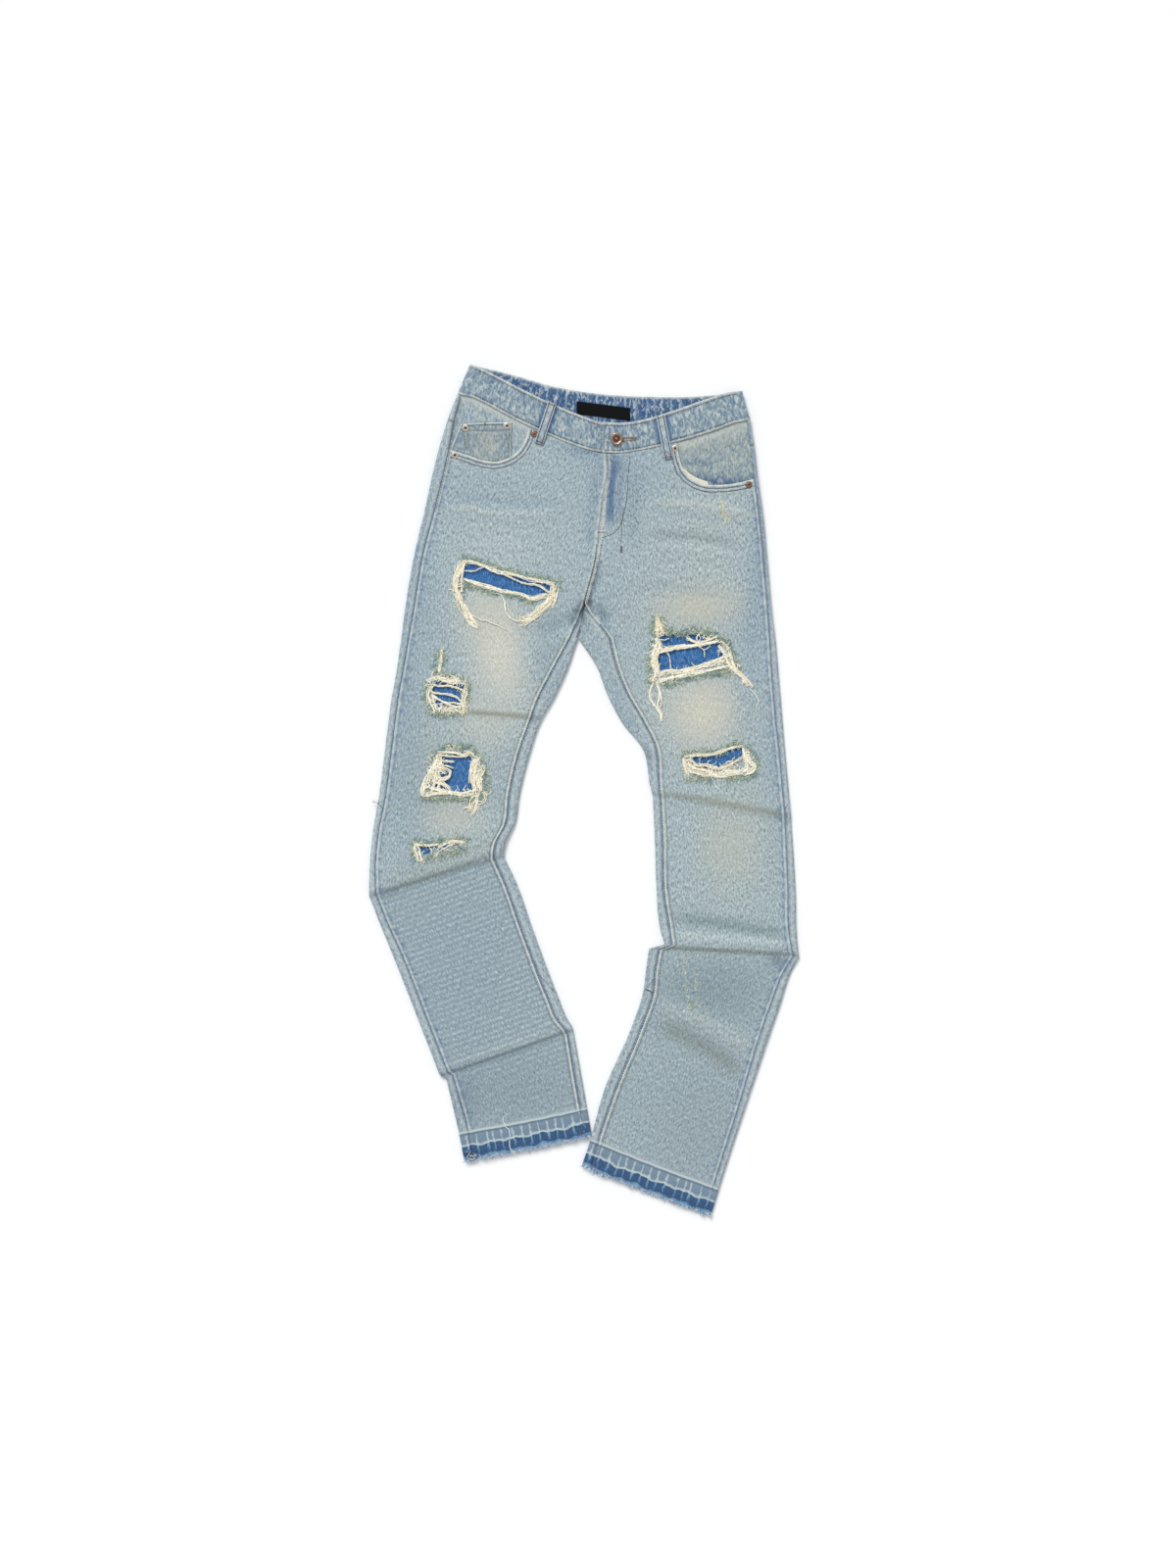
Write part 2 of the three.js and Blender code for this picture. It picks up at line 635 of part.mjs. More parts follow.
// The back of each leg is two pieces, joined by a slanting seam from its left end to its right.
const CALF_SEAMS = { right: [[-275, -16], [-43, -263]], left: [[83, -263], [273, -16]] };
function besideSeam([a, b], side) {
  const length = Math.hypot(b[0] - a[0], b[1] - a[1]);
  const [dx, dy] = [(b[0] - a[0]) / length, (b[1] - a[1]) / length];
  const at = (along, up) => [a[0] + dx * along - dy * up * side, a[1] + dy * along + dx * up * side];
  const near = SEAM_GAP / 2;
  const far = 1500;
  const outline = [at(-far, near), at(far, near), at(far, far), at(-far, far)];
  return prism(side > 0 ? outline : outline.reverse());
}
for (const [side, { back, yoke }] of Object.entries({ right, left })) {
  const solid = back.wall(DENIM);
  add(`back_${side}`, solid.intersect(besideSeam(CALF_SEAMS[side], 1)), "seat_denim");
  add(`back_${side}_calf`, solid.intersect(besideSeam(CALF_SEAMS[side], -1)), "seat_denim");
  add(`yoke_${side}`, yoke.wall(DENIM).subtract(bandOnFront).subtract(bandAtBack), "seat_denim");
}

add("waistband", waistband(), "denim");
add("loop_front_right", frontLoop([-42, 512], [-60, 458]), "denim");
add("loop_front_left", frontLoop([101, 495], [112, 438]), "denim");
add("loop_back_right", backLoop([-96, 548], [-108, 491]), "seat_denim");
add("loop_back_center", backLoop([26, 523], [25, 466]), "seat_denim");
add("loop_back_left", backLoop([146, 519], [152, 461]), "seat_denim");

// In the right pocket's mouth: its facing, and the coin pocket on it.
const COIN_CLOTH = 1;
const facingDepth = -(DENIM + CLEAR + 0.2);
const onFacing = facingDepth + DENIM / 2 + CLEAR; // where the coin pocket's underside lies
const facingRight = onFront(4, 6, line([-160, 522], [-56, 482]), line([-182, 436], [-78, 424]), facingDepth);
add("facing_right", facingRight.wall(DENIM), "denim");
const mouth = curveThrough(RIGHT_MOUTH);
const coinFoot = (s) => {
  const [x, y] = mouth(mix(0.3, 0.75, s));
  return [x, y + 1.2];
};
const coinPocket = onFront(3, 5, line([-163, 484], [-96, 487]), coinFoot, onFacing + COIN_CLOTH / 2);
add("coin_pocket", coinPocket.wall(COIN_CLOTH), "denim");

// In the left pocket's mouth: its facing, lying deeper, and the bag's edge in front of it.
const deep = -(2 * DENIM + CLEAR + 0.5);
const facingLeft = onFront(4, 6, line([112, 468], [213, 490]), line([114, 400], [229, 396]), deep);
add("facing_left", facingLeft.wall(DENIM), "denim");
const bagEdge = curveThrough([[128, 430], [136, 422], [148, 414], [164, 408]]);
const bagFoot = curveThrough([[124, 424], [134, 412], [148, 402], [166, 398]]);
const BAG_CLOTH = 0.6;
const bagDepth = -(DENIM / 2 + CLEAR + BAG_CLOTH / 2);
add("pocket_bag_left", onFront(1, 5, bagEdge, bagFoot, bagDepth).wall(BAG_CLOTH), "lining");

add("back_pocket_right", seatPocket(-92, 345, -0.07), "seat_denim");
add("back_pocket_left", seatPocket(128, 335, 0.07), "seat_denim");

const LABEL_CORNERS = [[-10, 498], [61, 489], [61, 506], [-10, 515]];
add("label", flatPiece(LABEL_CORNERS, LABEL), "label", [0, 0, BAND_LOW + BAND / 2 + 0.3]);

const onCloth = (x, y, lift) => [x, y, topHeight(x, y) + lift];
add("button", turned(BUTTON_PROFILE), "copper", onCloth(43, 464, BAND_LIFT + BAND / 2 + 0.4));
const overPanel = DENIM / 2 + 0.4;
const overCoin = onFacing + COIN_CLOTH + 0.5;
const RIVETS = {
  coin_outer: [-157, 479, overCoin],
  coin_inner: [-102, 482, overCoin],
  right_side: [-171, 443, overPanel],
  right_waist: [-66, 471, overPanel],
  left_waist: [120.5, 452, overPanel],
  left_side: [218, 404, overPanel],
};
for (const [name, [x, y, lift]] of Object.entries(RIVETS)) {
  add(`rivet_${name}`, turned(RIVET_PROFILE), "copper", onCloth(x, y, lift));
}

export default jeans;
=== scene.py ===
# %% [markdown]
# # Ripped jeans, laid flat
# Washed five-pocket jeans lie front up on a level floor. Every piece of cloth is a thin shell on the
# form of its CAD solid, and the thread and the metal are built around it.

# %% Load the frame
import math
import bpy
import bmesh
import numpy as np
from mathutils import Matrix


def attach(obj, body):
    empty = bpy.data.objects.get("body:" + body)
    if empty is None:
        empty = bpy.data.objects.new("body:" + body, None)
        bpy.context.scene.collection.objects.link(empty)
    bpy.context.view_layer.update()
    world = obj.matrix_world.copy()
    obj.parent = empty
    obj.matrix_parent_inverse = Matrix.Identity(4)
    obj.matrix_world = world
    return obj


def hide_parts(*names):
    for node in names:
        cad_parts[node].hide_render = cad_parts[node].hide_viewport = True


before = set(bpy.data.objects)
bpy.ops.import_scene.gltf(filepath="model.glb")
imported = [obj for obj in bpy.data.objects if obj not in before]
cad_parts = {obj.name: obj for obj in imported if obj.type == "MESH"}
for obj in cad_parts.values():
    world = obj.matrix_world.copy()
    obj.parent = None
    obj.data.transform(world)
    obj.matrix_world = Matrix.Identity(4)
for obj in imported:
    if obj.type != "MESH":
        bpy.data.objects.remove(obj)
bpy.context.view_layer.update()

MM = 0.001
print("frame:", len(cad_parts), "nodes")

# %% [markdown]
# ## Camera and light
# A long lens looks straight down. A broad, soft sun from the waist's side and an even sky give weak
# shadows under the folds, so the cloth's colours are seen almost as they are.

# %% Camera and light
VIEW_CENTRE = (0.0052, 0.0078)
VIEW_HEIGHT = 2.08
LENS = 70
SENSOR = 36

camera = bpy.data.objects.new("camera", bpy.data.cameras.new("camera"))
camera.data.lens = LENS
camera.data.sensor_width = SENSOR
camera.location = (*VIEW_CENTRE, VIEW_HEIGHT * LENS / SENSOR)
bpy.context.collection.objects.link(camera)
scene = bpy.context.scene
scene.camera = camera
scene.view_settings.view_transform = "Standard"

sun = bpy.data.objects.new("soft_sun", bpy.data.lights.new("soft_sun", "SUN"))
sun.data.energy = 2.15
sun.data.angle = math.radians(24)
sun.rotation_euler = (math.radians(-42), math.radians(-24), 0)
bpy.context.collection.objects.link(sun)
world = bpy.data.worlds.new("even_sky")
world.use_nodes = True
world.node_tree.nodes["Background"].inputs["Color"].default_value = (0.97, 0.985, 1, 1)
world.node_tree.nodes["Background"].inputs["Strength"].default_value = 0.58
scene.world = world
print("camera height", round(camera.location.z, 3))

# %% [markdown]
# ## A workbench for materials
# Colours are written as sRGB hex values, and one function turns them to the linear values that the
# shaders need. A Finish is a material in the making: each of its methods adds one node and gives
# the socket that comes out, so each material below reads as a list of what it is made of.

# %% Colours and nodes
def linear(colour):
    """Linear red, green and blue of an sRGB hex colour, by the standard's two-part curve."""
    parts = np.array([int(colour[i : i + 2], 16) for i in (1, 3, 5)]) / 255
    return np.where(parts > 0.04045, ((parts + 0.055) / 1.055) ** 2.4, parts / 12.92)


def rgba(colour):
    """A hex colour as a shader socket takes it."""
    return (*linear(colour), 1)


class Finish:
    """A material with its node tree and its one shader."""

    def __init__(self, name):
        self.material = bpy.data.materials.new(name)
        self.material.use_nodes = True
        self.tree = self.material.node_tree
        self.shader = self.tree.nodes["Principled BSDF"]

    def add(self, kind, inputs=None, **settings):
        """A node of this kind. An input is linked where a socket is given, and set otherwise."""
        node = self.tree.nodes.new("ShaderNode" + kind)
        for key, value in settings.items():
            setattr(node, key, value)
        for key, value in (inputs or {}).items():
            self.plug(node.inputs[key], value)
        return node

    def plug(self, socket, value):
        """Link the socket if the value is one too, and set it otherwise."""
        if isinstance(value, bpy.types.NodeSocket):
            self.tree.links.new(value, socket)
        else:
            socket.default_value = value

    def object_place(self):
        return self.add("TexCoord").outputs["Object"]

    def attribute(self, name, output="Fac"):
        return self.add("Attribute", attribute_name=name).outputs[output]

    def placed(self, place, size, turn=0):
        """Coordinates scaled by size and turned about Z."""
        return self.add("Mapping", {0: place, 2: (0, 0, turn), 3: size}).outputs[0]

    def noise(self, place, detail, size=1, distortion=0):
        inputs = {"Vector": place, "Scale": size, "Detail": detail, "Distortion": distortion}
        return self.add("TexNoise", inputs).outputs["Fac"]

    def spread(self, value, low=0, high=1, first=0, last=1, clamp=True):
        """The value's run from low to high, drawn out to run from first to last."""
        return self.add("MapRange", {0: value, 1: low, 2: high, 3: first, 4: last}, clamp=clamp).outputs[0]

    def total(self, one, other):
        return self.add("Math", {0: one, 1: other}).outputs[0]

    def product(self, one, other, more=None):
        """Two values multiplied, and a third one added if it is given."""
        if more is None:
            return self.add("Math", {0: one, 1: other}, operation="MULTIPLY").outputs[0]
        return self.add("Math", {0: one, 1: other, 2: more}, operation="MULTIPLY_ADD").outputs[0]

    def shaded(self, colour, value):
        """The colour made darker or lighter."""
        return self.add("VectorMath", {0: colour, "Scale": value}, operation="SCALE").outputs[0]

    def mix(self, amount, first, second):
        """The second colour over the first by the amount."""
        return self.add("Mix", {0: amount, 6: first, 7: second}, data_type="RGBA").outputs[2]

    def edges(self, along, size, randomness):
        """How far a place along a line is from the edge of its cell; cells are about size long."""
        inputs = {"W": self.product(along, 1 / size), "Scale": 1, "Randomness": randomness}
        settings = {"voronoi_dimensions": "1D", "feature": "DISTANCE_TO_EDGE"}
        return self.add("TexVoronoi", inputs, **settings).outputs["Distance"]

    def ramp(self, value, stops):
        """A colour for each value, between the stops' places and colours."""
        node = self.add("ValToRGB", {0: value})
        elements = node.color_ramp.elements
        for place, _ in stops[2:]:
            elements.new(place)
        for element, (place, colour) in zip(elements, stops):
            element.position = place
            element.color = rgba(colour)
        return node.outputs[0]

    def done(self, colour, height=None, depth=0.0004, strength=1, **sockets):
        """Give the shader its colour, its relief and its other values, and hand over the material."""
        self.plug(self.shader.inputs["Base Color"], colour)
        if height:
            bump = self.add("Bump", {"Height": height, "Distance": depth, "Strength": strength})
            self.plug(self.shader.inputs["Normal"], bump.outputs[0])
        for name, value in sockets.items():
            self.plug(self.shader.inputs[name.replace("_", " ")], value)
        return self.material


# %% [markdown]
# ## Washed denim
# Stone washing rubs the blue off the raised yarns, so the cloth is a pale, greyish blue with short
# streaks. The mesh carries the wash as a colour called dye, and three values say where the cloth is
# rubbed pale, where it has kept its indigo, and where it shows a cross rib. The second also carries
# painted shade in seam lines, stitch grooves and along the belt loops, and the first paints the
# facings paler beside the band, as painted light against its shadow. Real yarns, half a millimetre
# apart, are too fine to show, so the streaks are drawn 1.8 mm wide and 6.8 mm long.

# %% Washed denim
STREAK_WIDTH = 0.0018
STREAK_LENGTH = 0.0068
GRAIN = 0.0022
RIB_SPACING = 0.0072
MOTTLE = 0.0055
HEM_BLOCK = 0.0118
HEM_HEIGHT = 0.04


def wash_nodes(finish, contrast):
    """Place, colour, height and mottle of washed denim. Streaks and grain are stretched noise over
    the cloth's own coordinates; the dye is made darker where they are low and paler where high."""
    place = finish.add("UVMap", uv_map="cloth").outputs["UV"]
    sandy, wear, deep, rib, much = map(finish.attribute, ("sandy", "wear", "deep", "rib", "mottle"))
    streak = finish.noise(finish.placed(place, (1 / STREAK_WIDTH, 1 / STREAK_LENGTH, 1)), 2)
    grain = finish.noise(finish.placed(place, (1 / GRAIN, 0.6 / GRAIN, 1), 0.6), 1)
    mottle = finish.noise(finish.placed(place, (1.4 / MOTTLE, 0.7 / MOTTLE, 1), 0.7), 3, distortion=0.8)
    height = finish.total(streak, grain)
    swing = finish.spread(height, 0.7, 1.3, -contrast, contrast, clamp=False)
    calm = finish.spread(sandy, first=1, last=0.5)
    colour = finish.shaded(finish.attribute("dye", "Color"), finish.product(swing, calm, 1))
    rib_size = 2 * math.pi / 20 / RIB_SPACING
    rib_place = finish.placed(place, (rib_size, rib_size, 1), -0.13)
    waves = {"Vector": rib_place, "Scale": 1, "Distortion": 1.6, "Detail": 2, "Detail Scale": 3}
    ribs = finish.add("TexWave", waves, bands_direction="Y").outputs["Fac"]
    # The last two layers are indigo with painted shade, and wear with painted light.
    layers = (
        (finish.product(ribs, rib), "#7c8f9b"),
        (finish.product(finish.spread(mottle, 0.5, 0.72), much), "#cdd3cf"),
        (finish.product(finish.spread(mottle, 0.5, 0.28), much), "#55789c"),
        (deep, "#3f648f"),
        (wear, "#d3d6cc"),
    )
    for amount, tint in layers:
        colour = finish.mix(amount, colour, rgba(tint))
    return place, colour, height, mottle


def denim(name, hem=False):
    """Washed cotton twill: rough, with a faint fuzz of fibres, and no shine."""
    finish = Finish(name)
    place, colour, height, mottle = wash_nodes(finish, 0.42)
    if hem:
        colour = hem_colour(finish, place, colour, mottle)
    sheen = {"Sheen_Weight": 0.08, "Sheen_Roughness": 0.6}
    return finish.done(colour, height, strength=0.7, Roughness=0.86, Specular_IOR_Level=0.25, **sheen)


# %% [markdown]
# The hems were let down: the old fold shows as a pale wavy line, with blocks of unworn blue below
# it and of softer blue above. Two ramps over the height above the raw edge give the blocks' colours
# and the pucker lines', and a cell pattern along the hem chooses between them.

# %% The let-down hem
BLOCK_COLOURS = [
    (0, "#7fa3c0"), (0.1, "#45739f"), (0.125, "#0d2c52"), (0.15, "#0f4070"), (0.41, "#1a4c7a"),
    (0.435, "#bcc9ca"), (0.475, "#aebcc2"), (0.51, "#6a8298"), (0.78, "#768c9e"),
    (0.83, "#5b7289"), (0.86, "#5b7289"), (0.885, "#c0c9c6"), (0.925, "#c0c9c6"), (0.96, "#9aabb4"),
]
PUCKER_COLOURS = [
    (0, "#9db6c8"), (0.1, "#5f86aa"), (0.125, "#1a3a60"), (0.16, "#3c6c96"), (0.41, "#86a6bb"),
    (0.435, "#cdd3cc"), (0.475, "#bcc4c2"), (0.78, "#b0bbbe"), (0.83, "#60778c"),
    (0.86, "#60778c"), (0.885, "#c0c9c6"), (0.925, "#c0c9c6"), (0.96, "#9aabb4"),
]


def hem_colour(finish, place, colour, mottle):
    """Mix the hem's colours over the wash below HEM_HEIGHT. Cells HEM_BLOCK wide along the hem, with
    wobbling sides, are blocks inside and pucker lines at their edges."""
    along, up = finish.add("SeparateXYZ", {0: place}).outputs[:2]
    wobble = finish.spread(finish.noise(finish.placed(place, (60, 20, 1)), 1), 0.3, 0.7, -0.0024, 0.0024)
    height = finish.product(wobble, finish.spread(up, 0.019, 0.026, 1, 0.15), up)
    level = finish.spread(height, 0, HEM_HEIGHT)
    bent = finish.total(along, finish.spread(mottle, 0.2, 0.8, -0.0022, 0.0022))
    line = finish.spread(finish.edges(bent, HEM_BLOCK, 0.7), 0.13, 0.05)
    stripe = finish.mix(line, finish.ramp(level, BLOCK_COLOURS), finish.ramp(level, PUCKER_COLOURS))
    grainy = finish.mix(0.1, stripe, colour)
    return finish.mix(finish.spread(height, HEM_HEIGHT, HEM_HEIGHT - 0.002), colour, grainy)


WASHED_DENIM = denim("washed_denim", hem=True)
PLAIN_DENIM = denim("washed_denim_trim")
print("denim nodes:", len(WASHED_DENIM.node_tree.nodes))

# %% [markdown]
# ## The other finishes
# Behind the rips lies deep blue, unworn denim. The torn edges are bare cream weft. The inner band is
# unwashed blue with pale creases, the label is black ribbon, the bag is plain cotton, and the button
# and rivets are dulled copper with darker hollows.

# %% Backing denim, cotton, ribbon and copper
def backing():
    """Raw indigo denim: streaks of lighter and darker blue yarn, 1.2 mm wide and 5 mm long."""
    finish = Finish("raw_indigo_denim")
    yarn = finish.noise(finish.placed(finish.object_place(), (800, 230, 300), 0.35), 3)
    blue = finish.ramp(yarn, [(0.3, "#27497a"), (0.45, "#38689f"), (0.58, "#4577ac"), (0.72, "#86a8cb")])
    return finish.done(blue, yarn, Roughness=0.88, Specular_IOR_Level=0.25)


def inner_band():
    """The band's inner face: indigo, with pale crease lines across it about 13 mm apart."""
    finish = Finish("unwashed_band_denim")
    place, colour, height, mottle = wash_nodes(finish, 0.18)
    along = finish.add("SeparateXYZ", {0: place}).outputs[0]
    bent = finish.total(along, finish.spread(mottle, 0.2, 0.8, -0.004, 0.004))
    crease = finish.spread(finish.edges(bent, 0.013, 0.8), 0.12, 0.02, last=0.75)
    return finish.done(finish.mix(crease, colour, rgba("#a3bacb")), height, Roughness=0.88)


def cotton(name, roughness=0.9):
    """Bare cotton yarn: its dye comes with each thread, a little lighter and darker along it."""
    finish = Finish(name)
    fuzz = finish.noise(finish.object_place(), 2, 420)
    colour = finish.shaded(finish.attribute("dye", "Color"), finish.spread(fuzz, 0.3, 0.7, 0.95, 1.16))
    return finish.done(colour, fuzz, 0.0003, Roughness=roughness, Specular_IOR_Level=0.2)


def ribbon():
    """Black woven ribbon: fine ribs 0.8 mm apart along it, with a soft gleam."""
    finish = Finish("black_woven_ribbon")
    waves = {"Vector": finish.placed(finish.object_place(), (1, 1, 1), 0.126), "Scale": 390, "Distortion": 1}
    ribs = finish.add("TexWave", waves, bands_direction="Y").outputs["Fac"]
    colour = finish.mix(ribs, rgba("#08090b"), rgba("#14171b"))
    return finish.done(colour, ribs, 0.0003, Roughness=0.8, Specular_IOR_Level=0.15)


def metal(name, roughness):
    """Stamped metal that has dulled: its tint comes with each ring of the profile as dye, and it is
    darker and rougher in tarnished specks."""
    finish = Finish(name)
    tarnish = finish.spread(finish.noise(finish.object_place(), 3, 600), 0.4, 0.62)
    colour = finish.shaded(finish.attribute("dye", "Color"), finish.spread(tarnish, first=1, last=0.62))
    return finish.done(colour, Roughness=finish.spread(tarnish, first=roughness, last=0.6), Metallic=1)


RAW_INDIGO = backing()
INNER_BAND = inner_band()
COTTON_YARN = cotton("bare_cotton_yarn")
SEWING_THREAD = cotton("sewing_thread", 0.75)
POCKETING = cotton("cotton_pocketing")
RIBBON = ribbon()
COPPER = metal("dulled_copper", 0.34)
print("materials:", len(bpy.data.materials))

# %% [markdown]
# ## The form of the cloth
# The front cloth is one height over the floor: a lay that rises over the seat and the waist, five
# sharp folds where the legs buckle, soft swells, and smaller creases, listed one by one. Everything
# on the front is laid on it, moved out along its normal, so nothing floats or sinks.

# %% Heights
DENIM = 1.2  # all sizes from here on are in millimetres
LAY = 5
SEAT_LIFT = 1.5
WAIST_LIFT = 2.3
POCKET_LIFT = 1.5
LOOP_LIFT = 0.6

# Folds: from, to, height above the line and how far it fades up, depth below it and how far it
# fades down, and how softly it turns.
FOLDS = [
    ((-292, -142), (-98, -84), 4.6, 48, 0.9, 40, 4.6),
    ((-200, -382), (-8, -315), 2.8, 60, 0.7, 35, 2.6),
    ((-160, 103), (-58, 94), 1.2, 20, 0.6, 25, 2.0),
    ((84, -4), (280, -38), 2.4, 28, 0.8, 30, 4.2),
    ((82, -208), (290, -219), 2.8, 30, 0.9, 30, 2.8),
]
SWELLS = [
    (-150, 200, 80, 120, 2.2),
    (150, 150, 80, 110, 2),
    (170, -110, 70, 60, 1.4),
    (-120, -230, 60, 60, 1),
    (170, -330, 60, 80, 1.2),
    (0, 215, 45, 40, -0.9),
]
# Creases: from x, y, to x, y, half-width, height, and how far the middle bows to its left.
CREASES = [
    (12, 398, 5, 322, 8, -0.7, 2),
    (74, 388, 66, 322, 10, -0.5, -3),
    (86, 336, 205, 323, 7, -1.1, 5),
    (84, 318, 210, 304, 9, 0.9, 5),
    (90, 380, 222, 366, 6, 0.5, 4),
    (90, 366, 215, 352, 5, -0.4, 4),
    (-186, 392, -36, 380, 5, -0.5, -5),
    (-182, 376, -40, 366, 6, 0.5, -5),
    (-170, 358, -60, 346, 6, -0.4, -4),
    (-6, 236, -78, 204, 9, -1.1, 4),
    (-4, 224, -66, 180, 8, 0.8, 5),
    (18, 240, 84, 214, 8, -0.9, -4),
    (20, 268, 96, 262, 8, 0.6, 4),
    (12, 230, 30, 196, 6, 1.0, -3),
    (24, 234, 46, 186, 6, -0.8, -4),
    (16, 305, 4, 246, 7, -1.1, 2),
    (118, -171, 275, -195, 9, -1.5, 2),
    (100, -190, 278, -206, 6, 1.1, 0),
    (238, -226, 276, -240, 9, -1.4, 0),
    (96, -286, 224, -344, 12, 1.5, 6),
    (98, -312, 208, -377, 10, -1.5, 6),
    (120, -230, 112, -300, 14, 0.7, 0),
    (-140, -360, -60, -336, 8, 0.8, 2),
    (-232, -250, -170, -240, 18, 0.5, 0),
    (-60, 92, -20, 118, 7, -0.9, 0),
    (-276, -136, -250, -124, 9, -0.7, 0),
    (-112, -88, -100, -76, 8, -1.2, 0),
    (20, 196, 44, 96, 8, 1.5, 5),
    (-70, -20, -96, -78, 12, 0.6, 0),
    (226, 180, 240, 40, 16, 0.5, 4),
    (30, 150, 74, 60, 10, -0.8, 6),
    (-240, 420, -250, 250, 12, 0.4, 0),
    (-30, 60, -160, 70, 16, 0.5, 6),
]
# Creases that lift the underside, where it doesn't show.
BACK_CREASES = [
    (-200, 330, 10, 250, 12, 1.0, 8),
    (-220, 240, -20, 214, 10, 0.9, 6),
    (-240, 110, -70, 90, 12, 1.1, 4),
    (-260, -30, -100, -50, 12, 0.9, 5),
    (-270, -150, -110, -100, 9, 1.3, 3),
    (-200, -390, -30, -330, 9, 1.2, 3),
    (20, 250, 240, 300, 12, 1.0, -8),
    (60, 120, 250, 140, 12, 0.9, -6),
    (90, -10, 268, -36, 9, 1.2, 4),
    (92, -212, 276, -222, 9, 1.3, 4),
    (84, -300, 230, -350, 12, 1.0, 6),
]


def smooth(low, high, x):
    """0 below low, 1 above high, and 3s squared minus 2s cubed between."""
    s = np.clip((x - low) / (high - low), 0, 1)
    return s * s * (3 - 2 * s)


def bell(value, middle, width):
    """1 at the middle, fading to both sides: exp of minus the distance over width, squared."""
    return np.exp(-(((value - middle) / width) ** 2))


def fold_height(x, y, start, end, rise, up, drop, down, turn):
    """A step along a line: it turns as a tanh, fades exponentially on both sides, and ends softly."""
    length = math.dist(start, end)
    ax, ay = (end[0] - start[0]) / length, (end[1] - start[1]) / length
    q = ((x - start[0]) * ax + (y - start[1]) * ay) / length
    d = (y - start[1]) * ax - (x - start[0]) * ay
    step = 0.5 * (1 + np.tanh(d / turn))
    above = rise * np.exp(-np.maximum(d, 0) / up)
    below = drop * np.exp(np.minimum(d, 0) / down)
    return smooth(-0.06, 0.06, q) * (1 - smooth(0.94, 1.06, q)) * (step * above - (1 - step) * below)


def crease_share(x, y, x0, y0, x1, y1, width, bow):
    """A bell across a bowed line, fading at its ends: exp of minus the distance over width, squared."""
    length = math.hypot(x1 - x0, y1 - y0)
    ax, ay = (x1 - x0) / length, (y1 - y0) / length
    q = ((x - x0) * ax + (y - y0) * ay) / length
    d = (y - y0) * ax - (x - x0) * ay - bow * 4 * q * (1 - q)
    return bell(d, 0, width) * smooth(-0.12, 0.2, q) * (1 - smooth(0.8, 1.12, q))


def top_height(x, y):
    """The lay, its lifts, the folds, the swells as bells, and the creases."""
    z = LAY + SEAT_LIFT * smooth(190, 250, y) + WAIST_LIFT * smooth(330, 430, y)
    for fold in FOLDS:
        z = z + fold_height(x, y, *fold)
    for cx, cy, hx, hy, height in SWELLS:
        z = z + height * np.exp(-(((x - cx) / hx) ** 2) - ((y - cy) / hy) ** 2)
    for x0, y0, x1, y1, width, height, bow in CREASES:
        z = z + height * crease_share(x, y, x0, y0, x1, y1, width, bow)
    return z


def bottom_height(x, y):
    """The back cloth lies flat on the floor, on its pockets and loops, and lifts at a few creases."""
    z = DENIM / 2 + POCKET_LIFT * smooth(190, 225, y) + LOOP_LIFT * smooth(425, 455, y)
    for x0, y0, x1, y1, width, height, bow in BACK_CREASES:
        z = z + height * crease_share(x, y, x0, y0, x1, y1, width, bow)
    return z


def on_top(x, y, lift=0.0):
    """Points on the front cloth, moved out along its normal, which comes from the slopes."""
    h = 0.4
    slope_x = (top_height(x + h, y) - top_height(x - h, y)) / (2 * h)
    slope_y = (top_height(x, y + h) - top_height(x, y - h)) / (2 * h)
    size = np.sqrt(slope_x**2 + slope_y**2 + 1)
    z = top_height(x, y)
    return np.stack([x - slope_x / size * lift, y - slope_y / size * lift, z + lift / size], -1)


print("height at the right knee:", round(float(top_height(-150.0, 60.0)), 2))

# %% [markdown]
# ## The wash
# The cloth is painted with soft spots: sandy where knees and thighs were rubbed, darker and bluer at
# the hips and below the lowest folds, where the darker wash also stands in for the folds' shade.
# Lines along the folds and creases add brownish tints, painted shade and painted highlights.

# %% Wash
BASE_DYE = "#a5b5ba"
WASHED = 0.95
# Spots: colour, centre x, y, half-width, half-length, turn in degrees, strength.
SPOTS = [
    ("#d2d2c5", -114, 186, 38, 84, 8, 0.95),
    ("#c8c8ba", -135, 232, 34, 26, 0, 0.5),
    ("#bfc4bc", -134, 84, 34, 46, 4, 0.75),
    ("#c0c4ba", -172, -36, 44, 30, 0, 0.8),
    ("#b2bfc2", -110, 320, 56, 36, 0, 0.5),
    ("#c3c3b4", 150, 244, 60, 30, 4, 0.85),
    ("#cfcdbe", 156, 103, 50, 50, 0, 0.95),
    ("#bcbfb2", 198, -72, 46, 64, -4, 0.65),
    ("#b9c1bc", 160, 336, 60, 70, 0, 0.4),
    ("#94a6b2", -226, 330, 22, 120, 8, 0.8),
    ("#93a6b3", 228, 260, 18, 180, -4, 0.7),
    ("#8fa2b0", -238, 150, 20, 150, 5, 0.6),
    ("#98a9b3", 252, 40, 18, 140, 0, 0.6),
    ("#97a8b2", -236, -40, 26, 90, 0, 0.5),
    ("#9aaab4", -170, -240, 90, 120, 0, 0.6),
    # Below the right leg's lowest fold the darker wash also stands in for the fold's shade.
    ("#93a2aa", -92, -400, 110, 52, 0, 0.95),
    ("#7d8f9b", -160, -412, 22, 40, 0, 0.7),
    ("#86989e", 166, -266, 86, 50, 0, 0.8),
    ("#97a5ac", 150, -450, 90, 110, 0, 0.75),
    ("#9cacb5", 30, 260, 26, 60, 0, 0.4),
    ("#95a8af", -50, 182, 20, 60, -8, 0.6),
    ("#97a9b5", 60, 420, 60, 34, 0, 0.6),
    ("#8c9fae", 4, 446, 40, 16, -18, 0.6),
    ("#9fb0b8", -120, 400, 80, 30, 0, 0.5),
    ("#b4bab0", -196, 24, 30, 60, 0, 0.4),
    ("#aab6b4", 190, -20, 60, 30, 0, 0.4),
]
